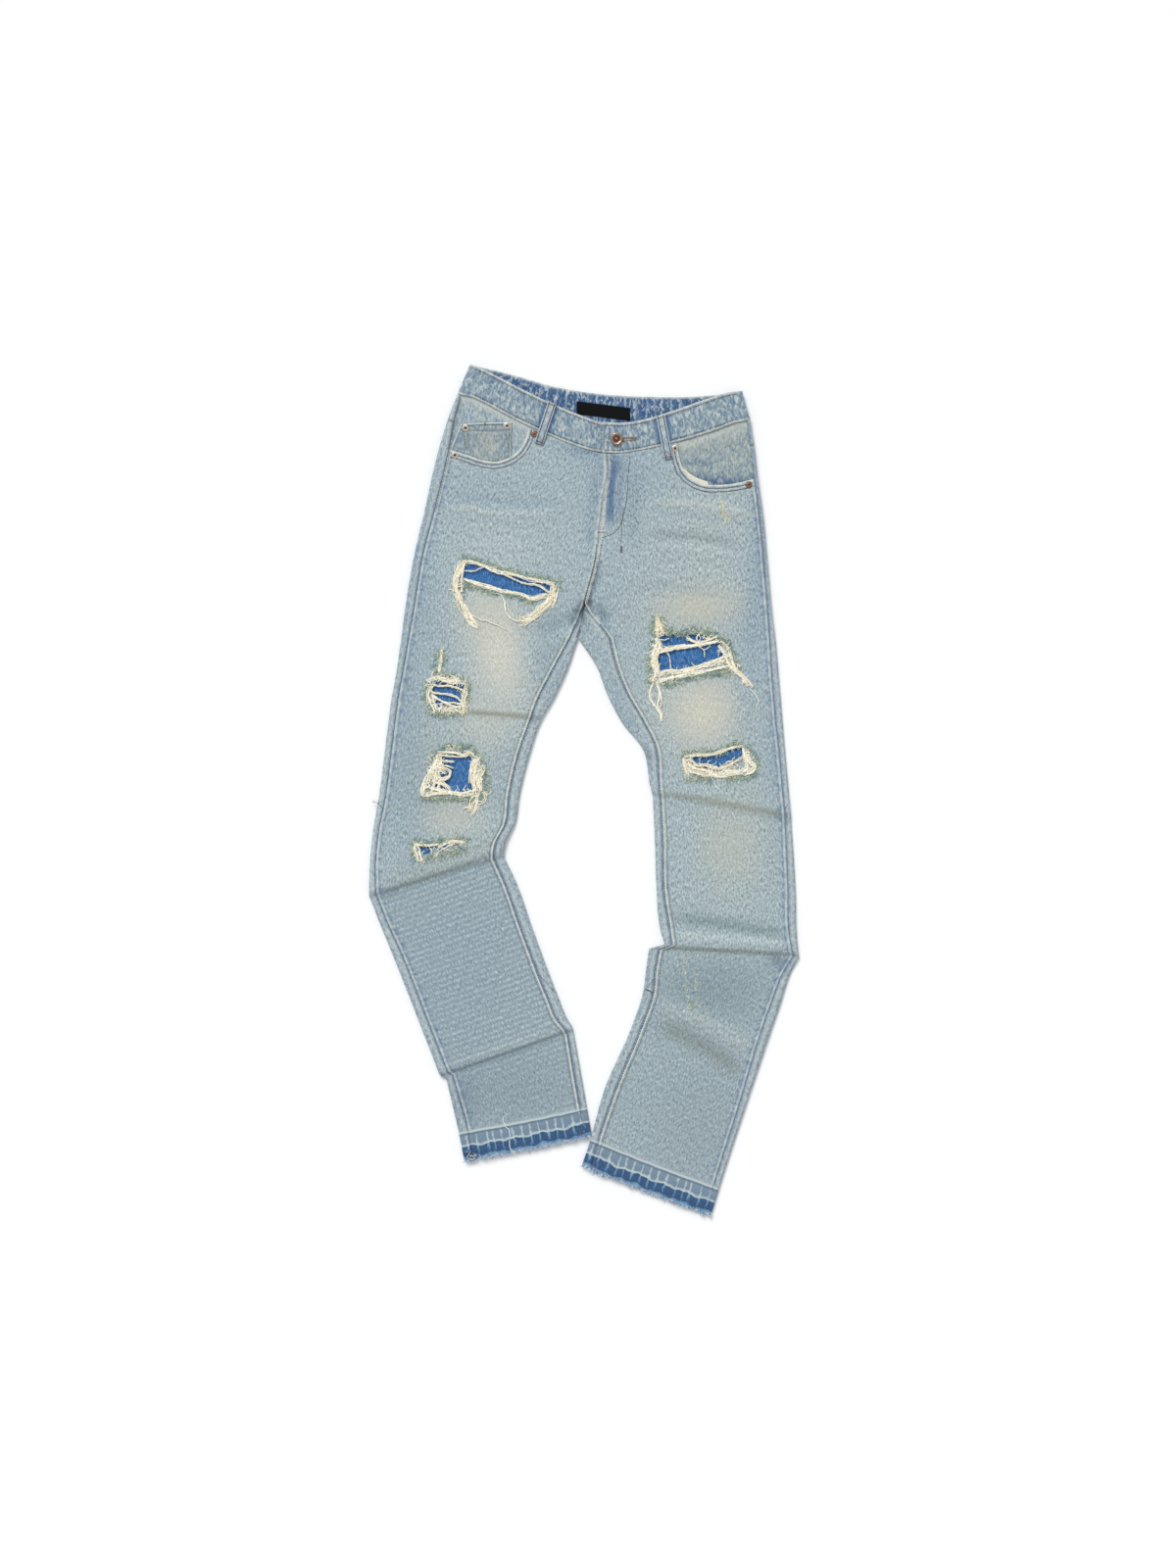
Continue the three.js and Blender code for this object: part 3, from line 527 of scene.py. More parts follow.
# Lines along the folds, creases and fly: the dark ones are painted shade in the fold lines, the
# crease valleys and the crotch; the pale ones on crease ridges are wear and painted highlight; the
# fly's pale lines are its worn edge, and the brownish and blue ones are the wash's own tints.
# Colour, from x, y, to x, y, half-width, strength, bow.
SHADE_AND_TINT_LINES = [
    ("#6f7268", -272, -137, -104, -79, 3.5, 0.4, -1),
    ("#9ca092", -262, -122, -108, -66, 12, 0.35, -1),
    ("#6f7f8c", -270, -142, -246, -134, 7, 0.4, 0),
    ("#86805f", -158, 103, -66, 96, 3.2, 0.6, 1),
    ("#4a545c", -74, 97, -62, 94, 5, 0.7, 0),
    ("#8a8872", 96, -3, 276, -35, 4, 0.5, 2),
    ("#6c7c88", 250, -30, 276, -36, 7, 0.4, 0),
    ("#7f9294", 116, -170, 276, -196, 9, 0.7, 2),
    ("#bcc7c7", 100, -192, 272, -204, 6, 0.6, 0),
    ("#767a6c", 92, -207, 284, -217, 3, 0.45, 0),
    ("#6f8290", 246, -222, 276, -240, 12, 0.6, 0),
    ("#b6c0be", 96, -286, 224, -344, 11, 0.6, 6),
    ("#7f877f", 98, -312, 208, -377, 12, 0.6, 6),
    ("#b6bfbf", -186, -368, -36, -318, 7, 0.6, 0),
    ("#5c6b78", -192, -378, -30, -322, 4, 0.4, 0),
    ("#4f6e90", 38, 444, 35, 352, 12, 0.9, 0),
    ("#cdd3cf", 27, 440, 24, 336, 2.2, 0.7, 2),
    ("#c3cbc9", 46, 420, 42, 356, 2.2, 0.5, -2),
    ("#7b90a3", 14, 420, 7, 318, 7, 0.45, 2),
    ("#8496a0", 72, 420, 66, 322, 10, 0.4, -3),
    ("#7f8f92", 88, 336, 204, 323, 6, 0.5, 5),
    ("#4c6279", 19, 306, 3, 246, 5, 0.8, 2),
    ("#33465a", 6, 250, -14, 216, 9, 0.9, 0),
    ("#14243a", 8, 254, -8, 230, 6, 1.0, 0),
    ("#4d6a80", 18, 248, 34, 226, 6, 0.5, -3),
    ("#c6d0d0", 12, 230, 30, 198, 5, 0.5, -3),
    ("#7e949e", 24, 232, 46, 190, 5, 0.5, -4),
    ("#6c8196", 8, 444, 8, 466, 30, 0.4, 0),
    ("#8fa3b2", -184, 392, -40, 380, 4, 0.5, -5),
    ("#c0c8c4", -180, 376, -42, 366, 4, 0.5, -5),
    ("#c2c9c4", 92, 380, 218, 366, 5, 0.5, 4),
    ("#93a4ae", 92, 364, 214, 350, 4, 0.45, 4),
    ("#93a3a8", 60, 272, 180, 262, 7, 0.4, 2),
    ("#7a8f9c", -6, 236, -60, 212, 7, 0.35, 4),
    ("#5a6b78", 40, 44, 96, 44, 9, 0.5, 0),
]


def wash(x, y):
    """The dye at each point: the base, pulled towards each spot and each line of tint and painted shade by
    its share there.
    """
    dye = np.broadcast_to(linear(BASE_DYE), (*np.shape(x), 3)).copy()
    for colour, cx, cy, hx, hy, turn, strength in SPOTS:
        c, s = math.cos(math.radians(turn)), math.sin(math.radians(turn))
        across, along = (x - cx) * c + (y - cy) * s, (y - cy) * c - (x - cx) * s
        share = strength * np.exp(-((across / hx) ** 2) - (along / hy) ** 2)
        dye += share[..., None] * (linear(colour) - dye)
    for colour, x0, y0, x1, y1, width, strength, bow in SHADE_AND_TINT_LINES:
        share = strength * crease_share(x, y, x0, y0, x1, y1, width, bow)
        dye += share[..., None] * (linear(colour) - dye)
    return dye * WASHED


def ripple(position, seed, low=0.0):
    """A smooth random wave over a length: five sines of falling strength, kept above low."""
    draw = np.random.default_rng(seed)
    wave = 0
    for i in range(1, 6):
        size = draw.uniform(0.5, 1) / i**0.5
        wave = wave + size * np.sin(position * draw.uniform(0.6, 1.4) * i + draw.uniform(0, 6.3))
    return np.maximum(wave, low)


print("spots and tints:", len(SPOTS), len(SHADE_AND_TINT_LINES))

# %% [markdown]
# ## Meshes from arrays
# A sheet is a grid of points, in rows along the leg or the ribbon and columns across it, with the
# cloth's own coordinates and paint. Solidify then gives the cloth its thickness.

# %% Grids and meshes
PAINT = ("wear", "deep", "rib", "mottle", "sandy")
made = []


def grid(points, across, along, dye, closed=False, **paint):
    """One sheet: points of shape rows, columns, 3, with quads between neighbours."""
    rows, columns = points.shape[:2]
    index = np.arange(rows * columns).reshape(rows, columns)
    if closed:
        index = np.concatenate([index, index[:, :1]], 1)
    faces = np.stack([index[:-1, :-1], index[:-1, 1:], index[1:, 1:], index[1:, :-1]], -1).reshape(-1, 4)

    def flat(value):
        return np.broadcast_to(value, (rows, columns)).reshape(-1).astype(float)

    sheet = {"points": points.reshape(-1, 3), "faces": faces}
    sheet["uv"] = np.stack([flat(across), flat(along)], -1) * MM
    sheet["dye"] = np.broadcast_to(dye, (rows, columns, 3)).reshape(-1, 3)
    paint["sandy"] = smooth(-0.08, 0.03, sheet["dye"][:, 0] - sheet["dye"][:, 2]).reshape(rows, columns)
    for name in PAINT:
        sheet[name] = np.clip(flat(paint.get(name, 0)), 0, 1)
    return sheet


def joined(sheets):
    """Several sheets as one, with the later ones' face indices moved up."""
    starts = np.cumsum([0] + [len(s["points"]) for s in sheets[:-1]])
    whole = {key: np.concatenate([s[key] for s in sheets]) for key in sheets[0] if key != "faces"}
    whole["faces"] = np.concatenate([s["faces"] + start for s, start in zip(sheets, starts)])
    return whole


def mesh_of(name, sheet, materials, weld=False, face_material=None):
    """A mesh object at the origin, in metres, with the sheet's coordinates and paint."""
    mesh = bpy.data.meshes.new(name)
    mesh.from_pydata(sheet["points"] * MM, [], sheet["faces"].tolist())
    corners = sheet["faces"].ravel()
    layer = mesh.uv_layers.new(name="cloth")
    layer.data.foreach_set("uv", sheet["uv"][corners].ravel())
    colours = np.concatenate([sheet["dye"], np.ones((len(sheet["dye"]), 1))], 1)
    mesh.attributes.new("dye", "FLOAT_COLOR", "POINT").data.foreach_set("color", colours.ravel())
    for key in PAINT:
        mesh.attributes.new(key, "FLOAT", "POINT").data.foreach_set("value", sheet[key])
    mesh.polygons.foreach_set("use_smooth", np.ones(len(mesh.polygons), bool))
    for material in materials:
        mesh.materials.append(material)
    if face_material is not None:
        mesh.polygons.foreach_set("material_index", face_material)
    if weld:
        work = bmesh.new()
        work.from_mesh(mesh)
        bmesh.ops.remove_doubles(work, verts=work.verts, dist=0.00003)
        work.to_mesh(mesh)
        work.free()
    mesh.update()
    piece = bpy.data.objects.new(name, mesh)
    bpy.context.collection.objects.link(piece)
    return piece


def thicken(piece, thickness, offset=0.0):
    """Give the cloth its thickness, half to each side of the sheet unless offset says otherwise."""
    solidify = piece.modifiers.new("thickness", "SOLIDIFY")
    solidify.thickness = thickness * MM
    solidify.offset = offset
    return piece


def enter(piece, slot=None, *nodes):
    """Hold the piece to the garment's one body and hide the solids it stands for. The slot, meant to name its
    finish, is not used.
    """
    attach(piece, "root")
    if nodes:
        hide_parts(*nodes)
    made.append(piece.name)
    return piece


# %% [markdown]
# ## The legs
# A leg is a list of stations from waist to hem: its outer and inner edge, and how far the back panel
# shows past both seams. Rows are 2.7 mm apart, and closer at the folds and the hem.

# %% Leg stations
CROTCH = 5
NOTCH = 6
SEAM_GAP = 0.4
BACK_RISE = 40
WAIST_SAG = (6.5, 5, 4, 2.5, 1)
# Outer x, y, inner x, y, back showing past the outer and the inner seam, and 1 at a fold.
RIGHT_LEG = np.array([
    (-168, 524, 30, 445, 5, 0, 0), (-181, 489, 31, 421, 9, 0, 0), (-194, 446, 27, 398, 14, 0, 0),
    (-212, 367, 20, 346, 13, 0, 0), (-225, 312, 17, 312, 12, 0, 0), (-238, 234, 1, 248, 12, 0, 0),
    (-243, 196, -8, 202, 10, 10, 0), (-248, 161, -22, 161, 9, 18, 0), (-255, 122, -40, 122, 9, 20, 0),
    (-259, 92, -57, 92, 9, 14, 0), (-265, 44, -74, 42, 9, 14, 0), (-272, -10, -86, -8, 9, 13, 0),
    (-280, -57, -91, -42, 8, 12, 0), (-284, -101, -105, -73, 8, 13, 0),
    (-285, -140, -107, -87, 10, 13, 1), (-274, -169, -92, -118, 10, 14, 0),
    (-254, -218, -68, -185, 12, 14, 0), (-217, -312, -35, -273, 12, 13, 0),
    (-198, -361, -23, -302, 12, 12, 0), (-192, -377, -16, -313, 12, 10, 1),
    (-183, -382, -14, -321, 10, 8, 1), (-165, -460, 4, -424, 13, 8, 0), (-159, -491, 10, -458, 12, 7, 0),
], float)
LEFT_LEG = np.array([
    (220, 489, 30, 445, 5, 0, 0), (225, 456, 31, 421, 5, 0, 0), (229, 421, 27, 398, 5, 0, 0),
    (238, 356, 20, 346, 5, 0, 0), (242, 312, 17, 312, 5, 0, 0), (249, 234, 1, 248, 6, 0, 0),
    (254, 195, -8, 202, 8, 42, 0), (257, 159, 18, 161, 9, 26, 0), (260, 124, 29, 131, 9, 27, 0),
    (263, 88, 49, 92, 9, 29, 0), (266, 53, 79, 52, 8, 17, 0), (270, 8, 87, 8, 8, 12, 0),
    (274, -36, 91, -8, 8, 10, 1), (277, -83, 94, -73, 9, 10, 0), (280, -135, 96, -130, 10, 9, 0),
    (281, -185, 101, -185, 10, 12, 0), (283, -213, 107, -205, 8, 9, 1), (285, -221, 86, -211, 8, 13, 1),
    (272, -246, 82, -239, 10, 12, 0), (260, -283, 78, -269, 12, 13, 0), (244, -329, 64, -312, 12, 12, 0),
    (214, -419, 26, -400, 9, 14, 0), (176, -537, 8, -465, 8, 10, 0), (168, -564, -3, -498, 8, 13, 0),
], float)
LEGS = {"right": RIGHT_LEG, "left": LEFT_LEG}
EDGE_OF = (0, 0, 1, 1, 0, 1)  # which edge's length each station value goes by


def knots_of(leg):
    """Distances down the outer and the inner edge at the stations."""
    spans = [np.hypot(*np.diff(leg[:, c : c + 2], axis=0).T) for c in (0, 2)]
    return [np.concatenate([[0], np.cumsum(span)]) for span in spans]


def tangents(slope, span):
    """Tangents at the points of a line: the mean of the slopes beside, each weighted by the other's
    span, and the slope itself at the ends."""
    middle = (slope[:-1] * span[1:] + slope[1:] * span[:-1]) / (span[:-1] + span[1:])
    return np.concatenate([slope[:1], middle, slope[-1:]])


def cubic(s, start, end, leaving, arriving):
    """A cubic between two values with given tangents, at the share s of the way."""
    turns = s * (1 - s) ** 2 * leaving + s * s * (s - 1) * arriving
    return (1 + 2 * s) * (1 - s) ** 2 * start + s * s * (3 - 2 * s) * end + turns


def stations(leg, t):
    """Station values at t; at folds, ends and the notch each side keeps its own slope."""
    knots = knots_of(leg)
    k = np.clip(np.floor(t), 0, len(leg) - 2).astype(int)
    s = t - k
    sharp = leg[:, 6] > 0
    sharp[[0, NOTCH, -1]] = True
    values = []
    for c, edge in enumerate(EDGE_OF):
        span = np.diff(knots[edge])
        slope = np.diff(leg[:, c]) / span
        even = tangents(slope, span)
        first = np.where(sharp[k], slope[k], even[k])
        last = np.where(sharp[k + 1], slope[k], even[k + 1])
        values.append(cubic(s, leg[k, c], leg[k + 1, c], first * span[k], last * span[k]))
    values[5] = np.where(t > CROTCH, np.maximum(values[5], 0), 0)
    return values


def rows_of(leg, first, last, step):
    """Row places between two stations: the step shrinks at folds and within 38 mm of the hem."""
    knots = knots_of(leg)[0]
    length = np.arange(knots[first], knots[last], 0.25)
    local = np.full(length.shape, step)
    for k in np.nonzero(leg[:, 6])[0]:
        local = np.minimum(local, 1.3 + np.maximum(0, np.abs(length - knots[k]) - 7) * 0.15)
    local = np.minimum(local, 1.5 + np.maximum(0, knots[-1] - 38 - length) * 0.2)
    count = np.cumsum(0.25 / local)
    places = np.interp(np.linspace(count[0], count[-1], int(count[-1]) + 1), count, length)
    t = np.interp(places, knots, np.arange(len(leg)))
    t[0], t[-1] = first, last
    for k in [NOTCH, *np.nonzero(leg[:, 6])[0]]:
        if first < k < last:
            t[np.argmin(np.abs(t - k))] = k
    return t


class Rows:
    """Rows across a leg at the places t: start, direction, width and seams."""

    def __init__(self, leg, t):
        ox, oy, ix, iy, self.wrap_outer, self.wrap_inner = stations(leg, t)
        self.t = t
        self.start = np.stack([ox, oy], -1)
        reach = np.stack([ix - ox, iy - oy], -1)
        self.width = np.hypot(*reach.T)
        self.dir = reach / self.width[:, None]
        knots = knots_of(leg)
        number = np.arange(len(leg))
        self.down = [knot[-1] - np.interp(t, number, knot) for knot in knots]

    def at(self, d):
        """x and y at a distance d across each row."""
        return (
            self.start[:, :1] + self.dir[:, :1] * d,
            self.start[:, 1:] + self.dir[:, 1:] * d,
        )

    def height(self, d):
        """How far along the leg each point is above the raw hem."""
        share = np.clip(d / self.width[:, None], 0, 1)
        return self.down[0][:, None] * (1 - share) + self.down[1][:, None] * share


print("leg lengths:", [round(float(knots_of(leg)[0][-1])) for leg in LEGS.values()])

# %% [markdown]
# ## Outlines: rips and pocket mouths
# A rip is an outline with few points and a small random wander between them, because a tear follows
# the yarns. The faces inside it are left out, and the points it crosses are moved onto it.

# %% Outlines
RIPS = {
    "right_thigh": [
        (-159, 302), (-125, 295), (-86, 284), (-41, 270), (-44, 262), (-66, 257), (-95, 263), (-125, 271),
        (-160, 281),
    ],
    "right_upper_knee": [
        (-202, 135), (-192, 148), (-170, 146), (-157, 138), (-158, 116), (-165, 107), (-195, 108),
    ],
    "right_knee": [
        (-190, 44), (-168, 49), (-146, 45), (-143, 20), (-143, -3), (-174, -5), (-192, 0), (-200, 8),
        (-196, 24),
    ],
    "right_shin": [(-221, -74), (-196, -75), (-164, -67), (-157, -70), (-180, -76), (-196, -81), (-214, -87)],
    "left_thigh": [
        (97, 205), (135, 208), (178, 202), (186, 178), (184, 171), (151, 159), (99, 153), (96, 179),
    ],
    "left_knee": [(138, 44), (174, 49), (209, 58), (213, 46), (200, 35), (174, 27), (146, 31)],
}
RIGHT_MOUTH = [
    (-230, 466), (-178, 450), (-156, 443), (-134, 436), (-117, 434), (-102, 438), (-89, 446), (-78, 462),
    (-73, 478),
]
LEFT_MOUTH = [
    (122, 470), (123, 452), (126, 438), (132, 422), (143, 411), (159, 404), (177, 403), (200, 405),
    (226, 411), (260, 418),
]
MOUTHS = {"right": RIGHT_MOUTH, "left": LEFT_MOUTH}
ABOVE = 620


def through(points, spacing=2.0):
    """A smooth line through points, evenly spaced over the distance along them."""
    p = np.array(points, float)
    knots = np.concatenate([[0], np.cumsum(np.linalg.norm(np.diff(p, axis=0), axis=1))])
    span = np.diff(knots)[:, None]
    slope = np.diff(p, axis=0) / span
    tangent = tangents(slope, span)
    place = np.linspace(0, knots[-1], max(3, int(knots[-1] / spacing) + 1))
    k = np.clip(np.searchsorted(knots, place, side="right") - 1, 0, len(p) - 2)
    s = ((place - knots[k]) / span[k, 0])[:, None]
    return cubic(s, p[k], p[k + 1], tangent[k] * span[k], tangent[k + 1] * span[k])


def lengths(line):
    """Distance along a line at each of its points."""
    return np.concatenate([[0], np.cumsum(np.linalg.norm(np.diff(line, axis=0), axis=1))])


def sides(line):
    """The unit direction along a flat line and the one to its left."""
    along = np.gradient(line[:, :2], axis=0)
    along /= np.maximum(np.linalg.norm(along, axis=1, keepdims=True), 1e-9)
    return along, np.stack([-along[:, 1], along[:, 0]], -1)


def torn(outline, seed, wander=0.8):
    """A closed outline, divided every 2 mm, with a random wander across it."""
    corners = np.array(outline + outline[:1], float)
    whole = lengths(corners)
    place = np.arange(0, whole[-1], 2.0)
    line = np.stack([np.interp(place, whole, corners[:, i]) for i in (0, 1)], -1)
    _, left = sides(line)
    draw = np.random.default_rng(seed)
    return line + left * draw.normal(0, wander, (len(line), 1))


def nearest(line, points, closed=True):
    """The nearest point of a line to each point, on the best of its segments."""
    a = line if closed else line[:-1]
    ab = (np.roll(line, -1, 0) if closed else line[1:]) - a
    gap = points[:, None] - a
    share = np.clip((gap * ab).sum(-1) / np.maximum((ab**2).sum(-1), 1e-9), 0, 1)
    foot = a + share[..., None] * ab
    best = np.linalg.norm(points[:, None] - foot, axis=-1).argmin(1)
    return foot[np.arange(len(points)), best]


def inside(outline, points):
    """Whether each point is inside an outline: it crosses it an odd number of times going right."""
    a, b = outline, np.roll(outline, -1, 0)
    x, y = points[:, :1], points[:, 1:2]
    spans = (a[:, 1] > y) != (b[:, 1] > y)
    rise = np.where(b[:, 1] == a[:, 1], 1e-9, b[:, 1] - a[:, 1])
    crossing = a[:, 0] + (y - a[:, 1]) / rise * (b[:, 0] - a[:, 0])
    return (spans & (x < crossing)).sum(1) % 2 == 1


def cut(sheet, outline, edge=None):
    """Leave out the faces inside an outline, and bring the inner points that remain to its edge."""
    flat = sheet["points"][:, :2]
    low, high = outline.min(0) - 4, outline.max(0) + 4
    near = np.nonzero(((flat > low) & (flat < high)).all(1))[0]
    within = np.zeros(len(flat), bool)
    within[near] = inside(outline, flat[near])
    keep = ~within[sheet["faces"]].all(1)
    sheet["faces"] = sheet["faces"][keep]
    used = np.zeros(len(flat), bool)
    used[sheet["faces"].ravel()] = True
    moved = np.nonzero(within & used)[0]
    if len(moved):
        foot = nearest(outline if edge is None else edge, flat[moved], closed=edge is None)
        sheet["points"][moved, :2] = foot
        sheet["points"][moved, 2] = top_height(foot[:, 0], foot[:, 1])
    return sheet


def drop_loose(sheet):
    """Leave out the points that no face uses."""
    used = np.zeros(len(sheet["points"]), bool)
    used[sheet["faces"].ravel()] = True
    new = np.cumsum(used) - 1
    kept = {key: value[used] for key, value in sheet.items() if key != "faces"}
    kept["faces"] = new[sheet["faces"]]
    return kept


print("rips:", ", ".join(RIPS))

# %% [markdown]
# ## Front panels
# A front panel reaches from the side seam to the centre seam and the inseam. Beside each seam it dips
# into the line and swells just inside it, over three layers, and the swell comes and goes.

# %% Front panels
WAIST_SHORT = 0.4
ROW_STEP = 2.7
SEAM_COLUMNS = np.array([0, 0.7, 1.5, 2.4, 3.4, 4.6, 6, 7.8, 10, 12.5])
MIDDLE_COLUMNS = 62
BAND_FRONT = np.array([
    (-151, 564, -168, 525), (-136, 558, -150, 520), (-114, 547, -128, 510), (-81, 530, -91, 490),
    (-48, 514, -50, 471), (-5, 496, -7, 454), (8, 491, 6, 450), (24, 487, 24, 446), (52, 486, 52, 446),
    (78, 490, 82, 451), (118, 502, 124, 461), (164, 518, 171, 475), (195, 527, 205, 487),
    (209, 529, 220, 490),
], float)
BAND_BACK = np.array([
    (-136, 560, -150, 521), (-92, 549, -104, 510), (-42, 535, -50, 495), (18, 525, 16, 486),
    (83, 521, 83, 481), (140, 521, 146, 481), (195, 526, 205, 487),
], float)
UNDERLAP = np.array([(58, 484, 58, 447), (40, 484, 40, 447), (24, 486, 24, 447)], float)


def band_foot(columns, x):
    """The y of the waistband's foot over x."""
    line = through([tuple(column[2:]) for column in columns], 3)
    return np.interp(x, line[:, 0], line[:, 1])


def to_band(x, y, t, columns):
    """Move the rows above the first station so that the first one lies along the band's foot."""
    foot = band_foot(columns, x[0]) - WAIST_SHORT
    return y + (1 - smooth(0, 1, t))[:, None] * (foot - y[0])


def across_seams(first, last, middle=MIDDLE_COLUMNS):
    """Distances across each row: the seam columns on both sides and even ones between them."""
    near = first[:, None] + SEAM_COLUMNS
    far = last[:, None] - SEAM_COLUMNS[::-1]
    share = np.linspace(0, 1, middle + 2)[1:-1]
    between = near[:, -1:] + (far[:, :1] - near[:, -1:]) * share
    return np.concatenate([near, between, far], 1)


def roping(distance, along, seed, ends=(2.2, 1.3)):
    """Height, pale rub and dark paint beside a seam: a dip in the line, then a swell at the first
    distance, its half-width the second, coming and going along the seam. The swell is rubbed pale,
    the band beyond it keeps its indigo, and the dip gets painted shade."""
    wave = 0.5 + 0.5 * np.tanh(1.5 * ripple(along / 4.2, seed, -9))
    swell = bell(distance, *ends)
    dip = bell(distance, 0, 0.8)
    beside = bell(distance, ends[0] * 2.2, 1.1)
    height = 0.5 * swell * (0.5 + 0.6 * wave) - 0.7 * dip
    return height, swell * (0.35 + 0.65 * wave), beside * (1 - 0.6 * wave) + 0.7 * dip


def front_panel(side):
    """The grid of one front panel, before its holes are cut, with its paint."""
    leg = LEGS[side]
    rows = Rows(leg, rows_of(leg, 0, len(leg) - 1, ROW_STEP))
    first = rows.wrap_outer + SEAM_GAP / 2
    last = rows.width - rows.wrap_inner - SEAM_GAP / 2
    d = across_seams(first, last)
    x, y = rows.at(d)
    share = (d - first[:, None]) / (last - first)[:, None]
    sag = np.interp(rows.t, np.arange(6), (*WAIST_SAG, WAIST_SAG[-1]))
    y = y - sag[:, None] * 4 * share * (1 - share)
    y = to_band(x, y, rows.t, BAND_FRONT)
    up = rows.height(d)
    seed = 11 if side == "right" else 23
    outer_z, outer_wear, outer_indigo_and_shade = roping(d - first[:, None], up, seed)
    inner_z, inner_wear, inner_indigo_and_shade = roping(last[:, None] - d, up, seed + 1, (2.6, 1.6))
    hem = smooth(42, 34, up)
    pucker = ripple(d / 3.3 + up / 9, seed + 2, -9) * 0.3 * smooth(38, 30, up) * smooth(0, 6, up)
    ridge = 0.8 * bell(up, 18 + ripple(d / 9, seed + 3, -9), 1.6)
    lift = outer_z + inner_z + pucker + ridge + 0.5 * hem * smooth(0, 3, up)
    points = on_top(x, y, lift)
    fray = np.random.default_rng(seed).normal(0, 1.1, d.shape[1])
    points[..., 1] += fray * np.exp(-up / 1.6)
    if side == "right":
        points[..., 1] += 8 * bell(d, 0, 16) * smooth(25, 0, up)
    rib = ribbed(x, y) if side == "right" else 0.25 * smooth(-215, -240, y)
    wear = 0.85 * outer_wear + 0.9 * inner_wear
    dabs = bell(d - first[:, None], 6, 3) * smooth(0.2, 0.9, ripple(up / 3, seed + 5, -9)) * smooth(0, 40, up)
    # Dark paint: kept indigo beyond each roped swell, painted shade in the seam lines, and dark dabs 6 mm
    # inside the side seam.
    deep = 0.5 * outer_indigo_and_shade + 0.45 * dabs + 0.6 * inner_indigo_and_shade * smooth(470, 430, up)
    mottle = 0.35 * smooth(16, 0, d - first[:, None]) + 0.35 * smooth(16, 0, last[:, None] - d)
    return grid(points, d, up, wash(x, y), rib=rib, wear=wear * 0.8, deep=deep, mottle=mottle)


def ribbed(x, y):
    """Where fine cross puckers cover the right leg: its shin, and more weakly its knee."""
    shin = (0.62 - 0.3 * smooth(-350, -390, y)) * smooth(-106, -120, y - 0.3 * (x + 190))
    return shin + 0.3 * smooth(-60, 0, y) * smooth(90, 40, y)


def cut_front(side, sheet):
    """Cut the pocket's mouth and the rips out of a front panel."""
    mouth = through(MOUTHS[side])
    region = np.concatenate([mouth, [(mouth[-1, 0], ABOVE), (mouth[0, 0], ABOVE)]])
    sheet = cut(sheet, region, mouth)
    for number, (name, outline) in enumerate(RIPS.items()):
        if name.startswith(side):
            sheet = cut(sheet, torn(outline, 40 + number))
    return drop_loose(sheet)


fronts = {}
for side in LEGS:
    sheet = cut_front(side, front_panel(side))
    fronts[side] = thicken(mesh_of(f"front_{side}_cloth", sheet, [WASHED_DENIM]), DENIM)
    enter(fronts[side], "denim", f"front_{side}")
    print(f"front {side}:", len(sheet["faces"]), "quads")

# %% [markdown]
# ## Back panels and yokes
# The back panel starts at the side seam on the front, turns round the leg's edge, lies on the floor,
# and comes up round the other edge to the inseam. Above the notch both meet at the centre back. A
# seam slants across each calf and shows as a short nick at each edge.

# %% Back panels and yokes
ROLL_POINTS = 9
UNDER_COLUMNS = 34
STRIP_COLUMNS = 7
CALF_SEAMS = {"right": ((-275, -16), (-43, -263)), "left": ((83, -263), (273, -16))}
EDGE_DYE = "#8799a6"


def turn_of(rows, side):
    """The turn at an edge: floor height, radius, and the distance of its centre across the row."""
    edge = np.zeros(len(rows.t)) if side < 0 else rows.width
    x, y = rows.at((edge - side * 4)[:, None])
    low = bottom_height(x, y)[:, 0]
    radius = (top_height(x, y)[:, 0] - low) / 2
    return low, radius, edge - side * (radius + DENIM / 2)


def roll_points(rows, side):
    """Points round an edge, from the top to the underside: a half circle."""
    low, radius, centre = turn_of(rows, side)
    angle = np.linspace(0, np.pi, ROLL_POINTS)
    d = centre[:, None] + side * np.sin(angle) * radius[:, None]
    x, y = rows.at(d)
    z = low[:, None] + radius[:, None] * (1 + np.cos(angle))
    return np.stack([x, y, z], -1), d


def strip_points(rows, start, end, columns=STRIP_COLUMNS):
    """A strip on the front between two distances; its last points dip into the seam."""
    share = np.linspace(0, 1, columns)
    d = start[:, None] + (end - start)[:, None] * share
    x, y = rows.at(d)
    dip = 0.5 * bell(end[:, None], d, 0.9)
    return on_top(x, y, -dip), d


def under_points(rows, start, end):
    """The underside between two distances."""
    share = np.linspace(0, 1, UNDER_COLUMNS + 2)[1:-1]
    d = start[:, None] + (end - start)[:, None] * share
    x, y = rows.at(d)
    return np.stack([x, y, bottom_height(x, y)], -1), d


def back_dye(points):
    """The wash, a little darker and bluer on the turned edges and underneath."""
    x, y = points[..., 0], points[..., 1]
    dye = wash(x, y)
    turned = smooth(0.5, 3.5, top_height(x, y) - points[..., 2])
    return dye + (0.25 + 0.6 * turned)[..., None] * (linear(EDGE_DYE) - dye)


def back_sheet(rows, parts):
    """One grid of a back panel from its parts: each is points, and distances across the rows."""
    points = np.concatenate([p for p, _ in parts], 1)
    d = np.concatenate([q for _, q in parts], 1)
    up = rows.height(d)
    seam = np.minimum(np.abs(d - rows.wrap_outer[:, None]), np.abs(rows.width - rows.wrap_inner - d.T).T)
    on_front = smooth(1.5, 0.5, top_height(points[..., 0], points[..., 1]) - points[..., 2])
    # Painted shade in the seam line, where the back panel meets the front.
    deep = 0.7 * bell(seam, 0, 1.6) * on_front
    wear = 0.32 * bell(seam, 5, 1.7) * on_front
    return grid(points, d, up, back_dye(points), deep=deep, wear=wear, mottle=0.35 * on_front)


